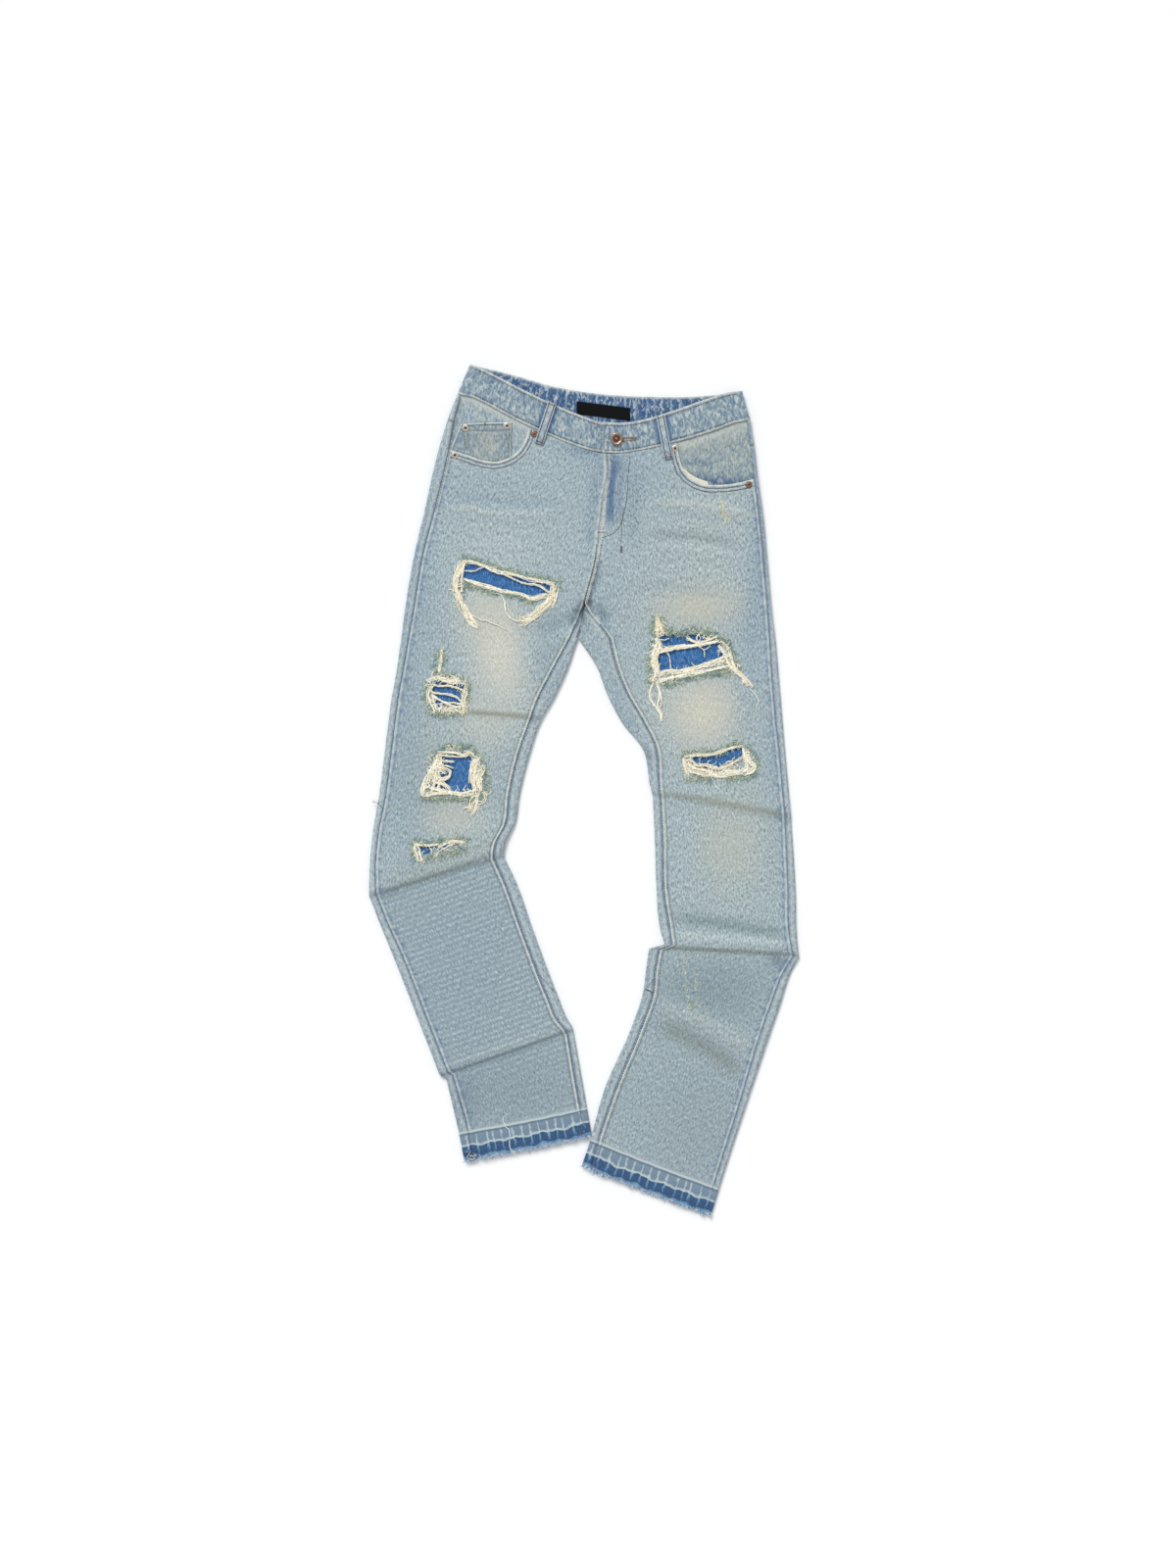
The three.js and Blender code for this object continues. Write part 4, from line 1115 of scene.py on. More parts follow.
def ring(leg, t):
    """The back panel round a leg below the notch."""
    rows = Rows(leg, t)
    outer, outer_d = roll_points(rows, -1)
    inner, inner_d = roll_points(rows, 1)
    first, first_d = strip_points(rows, turn_of(rows, -1)[2], rows.wrap_outer - SEAM_GAP / 2)
    last, last_d = strip_points(rows, turn_of(rows, 1)[2], rows.width - rows.wrap_inner + SEAM_GAP / 2, 12)
    below = under_points(rows, outer_d[:, -1], inner_d[:, -1])
    parts = [
        (first[:, :0:-1], first_d[:, :0:-1]), (outer, outer_d), below,
        (inner[:, ::-1], inner_d[:, ::-1]), (last[:, 1:], last_d[:, 1:]),
    ]
    return back_sheet(rows, parts)


def seat(leg, t, under_band=False):
    """The back panel or yoke above the notch, out to the centre-back seam."""
    rows = Rows(leg, t)
    outer, outer_d = roll_points(rows, -1)
    first, first_d = strip_points(rows, turn_of(rows, -1)[2], rows.wrap_outer - SEAM_GAP / 2)
    meet = smooth(5.3, 6, rows.t)
    end = (rows.width - SEAM_GAP / 2) * (1 - meet) + turn_of(rows, 1)[2] * meet
    share = np.linspace(0, 1, UNDER_COLUMNS + 2)[1:]
    start = outer_d[:, -1]
    d = start[:, None] + (end - start)[:, None] * share
    x, y = rows.at(d)
    y = y + BACK_RISE * share**2 * (1 - smooth(0, 1, rows.t))[:, None]
    if under_band:
        y = to_band(x, y, rows.t, BAND_BACK)
    below = (np.stack([x, y, bottom_height(x, y)], -1), d)
    parts = [(first[:, :0:-1], first_d[:, :0:-1]), (outer, outer_d), below]
    return back_sheet(rows, parts)


def gusset(leg):
    """The back panel between the crotch and the notch, seen beside the inseam."""
    rows = Rows(leg, np.linspace(5.25, 6, 22))
    meet = smooth(5.6, 6, rows.t)
    end = (rows.width - SEAM_GAP / 2) * (1 - meet) + turn_of(rows, 1)[2] * meet
    points, d = strip_points(rows, end, rows.width - rows.wrap_inner + SEAM_GAP / 2, 12)
    return back_sheet(rows, [(points, d)])


def keep_beside(piece, seam, side):
    """Keep what lies on one side of an upright plane along a seam, with a small gap at it."""
    (ax, ay), (bx, by) = seam
    length = math.hypot(bx - ax, by - ay)
    normal = (-(by - ay) / length * side, (bx - ax) / length * side, 0)
    point = ((ax + normal[0] * 0.2) * MM, (ay + normal[1] * 0.2) * MM, 0)
    work = bmesh.new()
    work.from_mesh(piece.data)
    parts = work.verts[:] + work.edges[:] + work.faces[:]
    bmesh.ops.bisect_plane(work, geom=parts, plane_co=point, plane_no=normal, clear_inner=True)
    work.to_mesh(piece.data)
    work.free()
    return piece


for side, leg in LEGS.items():
    end = len(leg) - 1
    below = ring(leg, rows_of(leg, NOTCH, end, 3.4))
    whole = joined([below, seat(leg, rows_of(leg, 1, NOTCH, 4)), gusset(leg)])
    gap_t = 1 - SEAM_GAP / knots_of(leg)[0][1]
    top = seat(leg, np.linspace(0, gap_t, 12), under_band=True)
    for name, half in (("", 1), ("_calf", -1)):
        piece = mesh_of(f"back_{side}{name}_cloth", whole, [WASHED_DENIM], weld=True)
        keep_beside(piece, CALF_SEAMS[side], half)
        enter(thicken(piece, DENIM), "seat_denim", f"back_{side}{name}")
    piece = thicken(mesh_of(f"yoke_{side}_cloth", top, [PLAIN_DENIM]), DENIM)
    enter(piece, "seat_denim", f"yoke_{side}")

# %% [markdown]
# ## Waistband
# One ribbon runs round the waist, outside at the front and inside at the back where it shows, and its
# buttoned end runs on under the other. It is a closed tube with round, roped edges.

# %% Waistband
BAND = 2.4
BAND_LIFT = (BAND - DENIM) / 2
BAND_LOW = 3.3
UNDERLAP_LIFT = BAND_LIFT - BAND - 0.3
BAND_STEP = 2.2
BAND_DYE = "#8c9da5"
BAND_INNER_DYE = "#244d7a"
FRONT_LOOPS = {"loop_front_right": ((-42, 512), (-60, 458)), "loop_front_left": ((101, 495), (112, 438))}


def shadow_beside_loops(x, y):
    """1 in the painted shadow along both sides of each front belt loop, and 0 elsewhere."""
    share = 0
    for (tx, ty), (fx, fy) in FRONT_LOOPS.values():
        length = math.hypot(fx - tx, fy - ty)
        d = ((x - tx) * (fy - ty) - (y - ty) * (fx - tx)) / length
        share = share + bell(np.abs(d), 8, 2.4)
    return share


def raised(columns, lift):
    """Top and foot of the band's middle surface over the front cloth, as rows of six numbers."""
    top = np.stack([columns[:, 0], columns[:, 1], top_height(columns[:, 0], columns[:, 1]) + lift], -1)
    foot = np.stack([columns[:, 2], columns[:, 3], top_height(columns[:, 2], columns[:, 3]) + lift], -1)
    return np.concatenate([top, foot], 1)


def at_back(columns):
    """The same for the band's back half, which lies low and level."""
    low = np.full(len(columns), BAND_LOW)
    return np.stack([columns[:, 0], columns[:, 1], low, columns[:, 2], columns[:, 3], low], -1)


def band_turn(column, side):
    """The band's turn round a side: half a circle, from the front down to the back."""
    top, foot = column[:2], column[2:]
    axis = (top - foot) / np.linalg.norm(top - foot)
    out = np.array([side * axis[1], -side * axis[0]])
    angle = np.linspace(0, np.pi, 9)
    ends = []
    for x, y in (top, foot):
        radius = (top_height(x, y) + BAND_LIFT - BAND_LOW) / 2
        d = (np.sin(angle) - 1) * radius - BAND / 2
        ends += [x + out[0] * d, y + out[1] * d, BAND_LOW + radius * (1 + np.cos(angle))]
    return np.stack(ends, -1)


BAND_COURSE = np.concatenate([
    raised(UNDERLAP, UNDERLAP_LIFT), raised(BAND_FRONT[6:0:-1], BAND_LIFT), band_turn(BAND_FRONT[0], -1),
    at_back(BAND_BACK), band_turn(BAND_FRONT[-1], 1)[::-1], raised(BAND_FRONT[12:6:-1], BAND_LIFT),
])


def tube_profile(height, thickness, across=11, round_points=5):
    """A flat tube's outline: distance from its top edge, and height off its middle surface. Points
    run down the outer face, round the foot, up the inner face and round the top."""
    half = thickness / 2
    flat = np.linspace(half, height - half, across)
    angle = np.linspace(np.pi / 2, -np.pi / 2, round_points + 2)[1:-1]
    around = np.stack([np.cos(angle), np.sin(angle)], -1) * half
    foot = around + (height - half, 0)
    top = around[::-1] * (-1, 1) + (half, 0)
    outer = np.stack([flat, np.full(across, half)], -1)
    inner = np.stack([flat[::-1], np.full(across, -half)], -1)
    return np.concatenate([outer, foot, inner, top])


def band_tube(course, thickness, seed):
    """The band's tube: each section lies between the top edge and the foot, with its height along
    the normal."""
    line = through(course, BAND_STEP * 2)
    top, foot = line[:, :3], line[:, 3:]
    height = np.linalg.norm(foot - top, axis=1)
    across = (foot - top) / height[:, None]
    middle = (top + foot) / 2
    along = np.gradient(middle, axis=0)
    normal = np.cross(along, across)
    normal /= np.linalg.norm(normal, axis=1, keepdims=True)
    place = lengths(middle)
    profile = tube_profile(height.mean(), thickness, 21)
    share = profile[:, 0] / height.mean()
    edge = bell(share * 40, 2.5, 2.2) + bell((1 - share) * 40, 2.5, 2.2)
    face = np.sign(profile[:, 1])
    wave = ripple(place / 3.6, seed, -9)[:, None] * edge
    wave = wave + 0.5 * ripple(place / 6, seed + 1, -9)[:, None] * (1 - edge)
    points = top[:, None] + (foot - top)[:, None] * share[:, None]
    points = points + normal[:, None] * (profile[:, 1] + 0.34 * wave * face)[..., None]
    start = points[:1].mean(1, keepdims=True) * 0.02 + points[:1] * 0.98
    flat_start = start - normal[:1, None] * profile[:, 1:2] * 0.98
    flat_end = points[-1:] - normal[-1:, None] * profile[:, 1:2] * 0.98
    points = np.concatenate([flat_start, points, flat_end])
    place = np.concatenate([place[:1], place, place[-1:]])
    rubbed = bell(share * 40, 1, 1.5) + bell((1 - share) * 40, 1, 1.5)
    groove = bell(share * 40, 4.5, 0.9) + bell((1 - share) * 40, 4.5, 0.9)
    inside_face = (profile[:, 1] < 0).astype(float)
    dye = linear(BAND_DYE) * (1 - inside_face[:, None]) + linear(BAND_INNER_DYE) * inside_face[:, None]
    lively = 0.45 + 0.55 * np.tanh(1.5 * np.abs(ripple(place / 5, seed + 3, -9)))[:, None]
    # Painted shadow along both sides of each front belt loop, on the band's outer face.
    loop_shadow = shadow_beside_loops(points[..., 0], points[..., 1])
    sheet = grid(
        points, place[:, None], 100 + share[None] * 40, dye[None], closed=True,
        wear=0.8 * rubbed * lively, mottle=1,
        # Painted shade in the grooves inside the band's edges, on its outer face.
        deep=0.55 * groove * (1 - inside_face) * (1.3 - lively) + loop_shadow * (1 - inside_face),
    )
    sheet["faces"] = sheet["faces"][:, ::-1]
    inner = (profile[:, 1] < 0) & (np.roll(profile[:, 1], -1) < 0)
    return sheet, np.tile(inner, len(points) - 1).astype(int)


band_sheet, band_faces = band_tube(BAND_COURSE, BAND, 51)
band = mesh_of("waistband_cloth", band_sheet, [PLAIN_DENIM, INNER_BAND], face_material=band_faces)
enter(band, "denim", "waistband")
print("waistband:", len(band.data.polygons), "faces")

# %% [markdown]
# ## Belt loops
# A loop is a strip folded to 12 mm. At the front two stand over the band and drop to the cloth below
# it; at the back three lie flat under the band.

# %% Belt loops
LOOP = 1.8
LOOP_WIDTH = 12
BACK_LOOPS = {
    "loop_back_right": ((-96, 548), (-108, 491)),
    "loop_back_center": ((26, 523), (25, 466)),
    "loop_back_left": ((146, 519), (152, 461)),
}
LOOP_DYE = "#a4b1b7"


def lengthways(start, end, rows, profile):
    """Flat places of a strip: along from start to end, and across by the profile's distances."""
    start, end = np.array(start, float), np.array(end, float)
    along = (end - start) / np.linalg.norm(end - start)
    left = np.array([-along[1], along[0]])
    place = np.linspace(0, np.linalg.norm(end - start), rows)
    return start + along * place[:, None, None] + left * profile[None, :, None], place


def loop_tube(start, end, height, drop):
    """A flat tube along the loop: it drops by so much near its foot, and its edges stand a little
    high, where the turnings are folded."""
    profile = tube_profile(LOOP_WIDTH, LOOP, 9)
    flat, place = lengthways(start, end, 30, profile[:, 0] - LOOP_WIDTH / 2)
    middle = height - drop * smooth(0.76, 0.97, place / place[-1])
    edge = np.abs(profile[:, 0] / LOOP_WIDTH * 2 - 1)
    lift = middle[:, None] + profile[:, 1] + 0.25 * (edge**4 - edge**2) * (profile[:, 1] > 0)
    return flat, lift, place, edge, profile


def front_loop(name, start, end):
    """A loop over the band: its middle is 3.5 mm above the cloth, and drops to 2 mm at its foot."""
    flat, lift, place, edge, profile = loop_tube(start, end, 3.5, 1.5)
    points = on_top(flat[..., 0], flat[..., 1], lift)
    return loop_sheet(name, points, place, edge, profile)


def back_loop(name, start, end):
    """A loop under the band, level on the floor."""
    flat, lift, place, edge, profile = loop_tube(start, end, LOOP / 2, 0)
    z = np.broadcast_to(lift, flat.shape[:2])
    return loop_sheet(name, np.concatenate([flat, z[..., None]], -1), place, edge, profile)


def loop_sheet(name, points, place, edge, profile):
    """Close the loop's ends and make it a piece: its edges are rubbed pale, and painted shade darkens
    its two grooves and its sides.
    """
    start, end = (ring.mean(1, keepdims=True) + 0 * ring for ring in (points[:1], points[-1:]))
    points = np.concatenate([start, points, end])
    place = np.concatenate([place[:1], place, place[-1:]])
    rubbed = smooth(0.74, 0.98, edge) * (0.75 + 0.25 * np.sin(place[:, None] * 1.3))
    groove = bell(edge, 0.62, 0.12)
    # Painted shade in the grooves, and on the loop's sides for the shadow it casts.
    deep = np.maximum(0.8 * groove, 0.9 * smooth(0.93, 0.99, edge))
    sheet = grid(
        points, profile[:, 0][None], 300 + place[:, None], linear(LOOP_DYE), closed=True,
        wear=rubbed * smooth(1, 0.94, edge), deep=deep, mottle=0.3,
    )
    sheet["faces"] = sheet["faces"][:, ::-1]
    piece = mesh_of(name + "_cloth", sheet, [PLAIN_DENIM])
    return enter(piece, "denim" if "front" in name else "seat_denim", name)


loops = {name: front_loop(name, *ends) for name, ends in FRONT_LOOPS.items()}
loops.update({name: back_loop(name, *ends) for name, ends in BACK_LOOPS.items()})
print("belt loops:", len(loops))

# %% [markdown]
# ## Pocket mouths
# In the right mouth lie the facing and, on it, the coin pocket with its folded top hem. The left mouth
# gapes: its facing lies deeper, behind a sliver of pocket bag. Two patch pockets lie under the seat.

# %% Facings, coin pocket, pocket bag, seat pockets
FACING_LIFT = -1.9
COIN_LIFT = -0.15
BAG_LIFT = -1.4
DEEP_LIFT = -3.4
COIN_THICK = 1.0


def between_lines(upper, lower, rows, columns):
    """Flat places between two lines, from the upper one to the lower one."""
    u = np.linspace(0, 1, columns)
    ends = []
    for line in (upper, lower):
        place = lengths(line) / lengths(line)[-1]
        ends.append(np.stack([np.interp(u, place, line[:, i]) for i in (0, 1)], -1))
    v = np.linspace(0, 1, rows)[:, None, None]
    return ends[0] * (1 - v) + ends[1] * v


def flat_line(*points):
    """A line straight through the points."""
    return np.array(points, float)


def pocket_piece(node, points, x, y, dye, thickness, material=PLAIN_DENIM, slot="denim", **paint):
    """A sheet of pocket cloth, given its thickness and held to the garment."""
    piece = mesh_of(node + "_cloth", grid(points, x, y, dye, **paint), [material])
    return enter(thicken(piece, thickness), slot, node)


flat = between_lines(flat_line((-164, 530), (-52, 492)), flat_line((-185, 436), (-78, 424)), 30, 30)
x, y = flat[..., 0], flat[..., 1]
dye = wash(x, y) * 0.86 + linear("#8fa2ae") * 0.1
under_band = smooth(14, 2, band_foot(BAND_FRONT, x) - y)
outer_end = smooth(0.1, 0.0, np.linspace(0, 1, 30))
points = on_top(x, y, FACING_LIFT + 0.5 * np.maximum(under_band, outer_end))
# Near the band the facing is painted paler, as painted light against the band's shadow.
facing_right = pocket_piece("facing_right", points, x, 500 + y, dye, DENIM, wear=0.5 * under_band, mottle=0.5)

mouth_line = through(RIGHT_MOUTH)
along_mouth = lengths(mouth_line) / lengths(mouth_line)[-1]
span = np.linspace(0.3, 0.75, 24)
coin_foot = np.stack([np.interp(span, along_mouth, mouth_line[:, i]) + (0, 1.2)[i] for i in (0, 1)], -1)
flat = between_lines(flat_line((-163, 484), (-130, 486), (-96, 487)), coin_foot, 44, 60)
x, y = flat[..., 0], flat[..., 1]
down = np.broadcast_to(np.linspace(0, 1, 44)[:, None], x.shape) * 42
side_gap = np.broadcast_to(np.minimum(np.linspace(0, 1, 60), np.linspace(1, 0, 60)), x.shape) * 66
folded = 0.45 * smooth(12, 10.5, down) + 0.3 * smooth(4.5, 3, side_gap)
grooves = bell(down, 2.5, 0.7) + bell(down, 9.5, 0.7) + bell(side_gap, 2.2, 0.7)
sandy = bell(x, -128, 18) * bell(y, 458, 20)
dye = linear("#8798a0") + sandy[..., None] * 0.6 * (linear("#afb0a0") - linear("#8798a0"))
rub = 0.9 * smooth(2.0, 0.4, down) + 0.8 * smooth(1.8, 0.4, side_gap) + 0.3 * bell(down, 11.5, 1.2)
points = on_top(x, y, COIN_LIFT + folded - 0.25 * grooves)
# The grooves get painted shade.
paint = {"wear": rub, "deep": 0.5 * grooves, "mottle": 0.5}
coin_pocket = pocket_piece("coin_pocket", points, x, 500 + y, dye, COIN_THICK, **paint)

flat = between_lines(flat_line((112, 472), (217, 500)), flat_line((114, 400), (231, 396)), 44, 50)
x, y = flat[..., 0], flat[..., 1]
# The facing is darkened to deep blue under the mouth's edge, as painted shade and unwashed blue, and along
# its fold line as painted shade; near the band it is painted paler, as painted light against the band's
# shadow.
shade = smooth(426, 408, y + 4 * smooth(150, 190, x)) * smooth(122, 134, x)
dye = linear("#95a2a2") + shade[..., None] * 0.9 * (linear("#3f5f80") - linear("#95a2a2"))
fold = crease_share(x, y, 130, 433, 172, 431, 3.5, 1.5)
dye = dye + fold[..., None] * 0.5 * (linear("#5a7790") - dye)
under_band = smooth(40, 2, band_foot(BAND_FRONT, x) - y)
points = on_top(x, y, DEEP_LIFT + 1.9 * under_band + 0.9 * crease_share(x, y, 128, 437, 174, 436, 5, 1.5))
paint = {"wear": 0.4 * under_band**3, "mottle": 0.6}
facing_left = pocket_piece("facing_left", points, x, 500 + y, dye, DENIM, **paint)

bag_edge = through([(128, 430), (136, 422), (148, 414), (164, 408)])
bag_foot = through([(124, 424), (134, 412), (148, 402), (166, 398)])
flat = between_lines(bag_edge, bag_foot, 8, 40)
x, y = flat[..., 0], flat[..., 1]
bag_sheet = grid(on_top(x, y, BAG_LIFT), x, 500 + y, linear("#dcd8c4"))
bag = thicken(mesh_of("pocket_bag_cloth", bag_sheet, [POCKETING]), 0.5)
enter(bag, "pocketing", "pocket_bag_left")

SEAT_POCKETS = {"right": (-92, 345, -0.07), "left": (128, 335, 0.07)}
for side, (px, py, turn) in SEAT_POCKETS.items():
    v = np.linspace(70, -72, 40)[:, None]
    half = (np.interp(v, (-72, -40, 70), (0.5, 60, 64)) - 2) * np.linspace(-1, 1, 36)
    v = np.broadcast_to(v * 0.985, half.shape)
    x = px + half * math.cos(turn) - v * math.sin(turn)
    y = py + half * math.sin(turn) + v * math.cos(turn)
    points = np.stack([x, y, np.full(x.shape, 0.6)], -1)
    dye = linear("#8fa1ad")
    piece = pocket_piece(f"back_pocket_{side}", points, x, 700 + y, dye, 1.1, slot="seat_denim", mottle=0.3)
print("facings, coin pocket, bag and seat pockets made")

# %% [markdown]
# ## Mouth hems
# A mouth's edge is turned, stands higher and is rubbed almost white. It is a narrow strip along the
# mouth's curve, from just over the edge to where the turning ends, 13 mm in.

# %% Mouth hems
HEM_PROFILE = np.array([
    (-0.6, -0.5), (-0.75, 0.1), (-0.5, 0.75), (0.2, 1.15), (1, 1.3), (2, 1.2), (3, 1.1), (3.9, 0.75),
    (4.8, 1.05), (6, 1.1), (7.6, 1.05), (8.6, 0.75), (9.6, 1.05), (11, 1.1), (12.3, 0.95), (13.2, 0.55),
])


def mouth_hem(side):
    """The turned edge of a pocket mouth: its profile is carried along the curve. The panel lies to
    the right of the curve's direction."""
    line = through(MOUTHS[side], 1.6)
    along, left = sides(line)
    leg = Rows(LEGS[side], np.linspace(0, 6, 200))
    seam_d = leg.wrap_outer + SEAM_GAP
    seam = leg.start + leg.dir * seam_d[:, None]
    seam = seam[np.argsort(seam[:, 1])]
    seam_x = np.interp(line[:, 1], seam[:, 1], seam[:, 0])
    shows = line[:, 0] > seam_x + 0.4 if side == "right" else line[:, 0] < seam_x - 0.4
    shows &= line[:, 1] < band_foot(BAND_FRONT, line[:, 0]) - 1.2
    line, along, left = line[shows], along[shows], left[shows]
    flat = line[:, None] - left[:, None] * HEM_PROFILE[:, 0][None, :, None]
    place = lengths(line)
    wave = ripple(place / 3, 61, -9)[:, None] * 0.12 * smooth(0, 2, HEM_PROFILE[:, 0])
    points = on_top(flat[..., 0], flat[..., 1], HEM_PROFILE[:, 1] + wave)
    dye = wash(flat[..., 0], flat[..., 1])
    out = HEM_PROFILE[:, 0]
    lively = 0.7 + 0.3 * np.tanh(ripple(place / 4, 62, -9))[:, None]
    rubbed = 0.95 * smooth(2.6, 0.6, out) + 0.35 * bell(out, 6.3, 1.2) + 0.4 * bell(out, 12.4, 0.8)
    groove = bell(out, 3.9, 0.6) + bell(out, 8.6, 0.6)
    # The two stitch grooves get painted shade.
    paint = {"wear": 1.3 * rubbed * lively, "deep": 0.8 * groove, "mottle": 0.3}
    sheet = grid(points, out[None], 500 + place[:, None], dye, **paint)
    return enter(mesh_of(f"mouth_hem_{side}", sheet, [PLAIN_DENIM]), "denim")


mouth_hems = {side: mouth_hem(side) for side in MOUTHS}
print("mouth hems:", len(mouth_hems))

# %% [markdown]
# ## Backing behind the rips
# A plain rectangle of unworn denim lies 2 mm under the front cloth behind each rip.

# %% Backing
PATCH = 1.0
PATCH_LIFT = -2.0
PATCHES = {
    "right_thigh": (-178, 242, -26, 318),
    "right_upper_knee": (-216, 96, -142, 156),
    "right_knee": (-212, -18, -130, 66),
    "right_shin": (-232, -94, -150, -54),
    "left_thigh": (84, 136, 204, 226),
    "left_knee": (130, 14, 226, 68),
}
patches = {}
for name, (x0, y0, x1, y1) in PATCHES.items():
    shape = (int((y1 - y0) / 2.5), int((x1 - x0) / 2.5))
    flat = between_lines(flat_line((x0, y1), (x1, y1)), flat_line((x0, y0), (x1, y0)), *shape)
    x, y = flat[..., 0], flat[..., 1]
    sheet = grid(on_top(x, y, PATCH_LIFT), x, 900 + y, linear("#2f5f9f"))
    piece = thicken(mesh_of("backing_" + name, sheet, [RAW_INDIGO]), PATCH)
    patches[name] = enter(piece, "patch_denim", "patch_" + name)
print("backings:", len(patches))

# %% [markdown]
# ## Threads
# A thread is a thin tube: rings of five points across its line. Many are made at once, as one array.

# %% Threads
def tubes(paths, radius, sides_around=5, taper=0.5):
    """Tubes along paths of shape count, points, 3. The radius is per tube, and narrows to taper at
    both ends; the faces run round and along."""
    paths = np.asarray(paths, float)
    count, points = paths.shape[:2]
    along = np.gradient(paths, axis=1)
    along /= np.maximum(np.linalg.norm(along, axis=2, keepdims=True), 1e-9)
    side = np.cross(along, (0, 0, 1.0))
    side += 1e-6
    side /= np.linalg.norm(side, axis=2, keepdims=True)
    up = np.cross(side, along)
    angle = np.arange(sides_around) / sides_around * 2 * np.pi
    place = np.linspace(-1, 1, points)
    size = np.broadcast_to(radius, (count,))[:, None] * (1 - (1 - taper) * np.abs(place) ** 6)
    ring = side[:, :, None] * np.cos(angle)[:, None] + up[:, :, None] * np.sin(angle)[:, None]
    shell = paths[:, :, None] + ring * size[..., None, None]
    index = np.arange(count * points * sides_around).reshape(count, points, sides_around)
    nxt = np.roll(index, -1, 2)
    faces = np.stack([index[:, :-1], nxt[:, :-1], nxt[:, 1:], index[:, 1:]], -1).reshape(-1, 4)
    return shell.reshape(-1, 3), faces[:, ::-1], points * sides_around


def thread_sheet(paths, radius, colours, sides_around=5, taper=0.5):
    """Tubes with one colour each, as a sheet for mesh_of."""
    points, faces, each = tubes(paths, radius, sides_around, taper)
    sheet = {"points": points, "faces": faces, "uv": np.zeros((len(points), 2))}
    sheet["dye"] = np.repeat(np.broadcast_to(colours, (len(paths), 3)), each, axis=0)
    for name in PAINT:
        sheet[name] = np.zeros(len(points))
    return sheet


def lie(path, lift):
    """Lay a flat path on the front cloth at the lift."""
    return on_top(path[..., 0], path[..., 1], lift)


def evenly(path, count):
    """A smooth line through the points, with this many even points."""
    line = through(path, 1.0)
    whole = lengths(line)
    place = np.linspace(0, whole[-1], count)
    return np.stack([np.interp(place, whole, line[:, i]) for i in range(line.shape[1])], -1)


CREAM = ("#f8f2de", "#f2ead2", "#fbf8ec", "#ebe2c6", "#f5efdc")
TINTED = ("#ebe7cf", "#c9d3bd", "#9fb6a6", "#84a59d", "#7a9fa6", "#a3b091", "#d3d6b4", "#6d8f94")


def pick(colours, count, draw):
    """Random choices from a list of hex colours, as linear colours."""
    table = np.array([linear(colour) for colour in colours])
    return table[draw.integers(0, len(table), count)]


def bundle(path, spread, seed, strands, lift=(0.9, 2.2), radius=(0.42, 0.7)):
    """Strands that run together along a path: each wanders sideways within the spread, crosses its
    neighbours, and rises and falls between the two lifts."""
    draw = np.random.default_rng(seed)
    length = lengths(np.array(path, float))[-1]
    points = int(np.clip(length / 2.4, 8, 60))
    line = evenly(path, points)
    _, left = sides(line)
    strands = strands if strands < 3 else int(strands * 1.5)
    place = np.linspace(0, length, points)
    paths, colours = [], pick(CREAM, strands, draw)
    for _ in range(strands):
        start = draw.uniform(-0.5, 0.5) * spread
        sway = start + 0.3 * spread * np.sin(place / draw.uniform(6, 15) + draw.uniform(0, 6.3))
        sway += 0.45 * ripple(place / draw.uniform(1.8, 3.5), draw.integers(1e6), -9)
        level = draw.uniform(*lift) + 0.35 * np.sin(place / draw.uniform(4, 9) + draw.uniform(0, 6.3))
        paths.append(lie(line + left * sway[:, None], level))
    return np.array(paths), draw.uniform(*radius, strands), colours


def wisps(line, count, length, seed, spread, inward=0.35, lift=(0.8, 2.4), colours=TINTED, size=(0.2, 0.36)):
    """Loose curly fibres along a line: each starts beside it, leaves at a random angle, mostly to
    its left, and curls. The dyed weft ends are yellowish, greenish and bluish greys."""
    draw = np.random.default_rng(seed)
    points = 7
    base = evenly(line, 200)
    _, left = sides(base)
    at = draw.integers(0, 200, count)
    side = np.where(draw.random(count) < inward, -1, 1)
    start = base[at] + left[at] * draw.normal(0, spread * 0.35, (count, 1))
    angle = draw.normal(0, 0.85, count)
    reach = draw.uniform(*length, count)
    heading = left[at] * side[:, None]
    turn = draw.normal(0, 1.5, (count, 1)) * np.linspace(0, 1, points)
    phase = np.linspace(0, 6, points) * draw.uniform(0.6, 1.6, (count, 1)) + draw.uniform(0, 6, (count, 1))
    turn = angle[:, None] + turn + 0.7 * np.sin(phase)
    step = reach[:, None] / (points - 1)
    dx = (heading[:, :1] * np.cos(turn) - heading[:, 1:] * np.sin(turn)) * step
    dy = (heading[:, :1] * np.sin(turn) + heading[:, 1:] * np.cos(turn)) * step
    x = start[:, :1] + np.cumsum(dx, 1) - dx
    y = start[:, 1:] + np.cumsum(dy, 1) - dy
    level = draw.uniform(*lift, (count, 1)) + np.linspace(0, 1, points) ** 2 * draw.normal(0, 0.5, (count, 1))
    return on_top(x, y, np.maximum(level, 0.7)), draw.uniform(*size, count), pick(colours, count, draw)


print("a thread of five sides, 24 points:", 23 * 5 * 2, "triangles")

# %% [markdown]
# ## The frayed rips
# Where denim is torn across, the cream weft stays, hanging across the hole and in bundles down its
# sides, and short dyed fibres curl round every edge. The bundles are placed one by one.

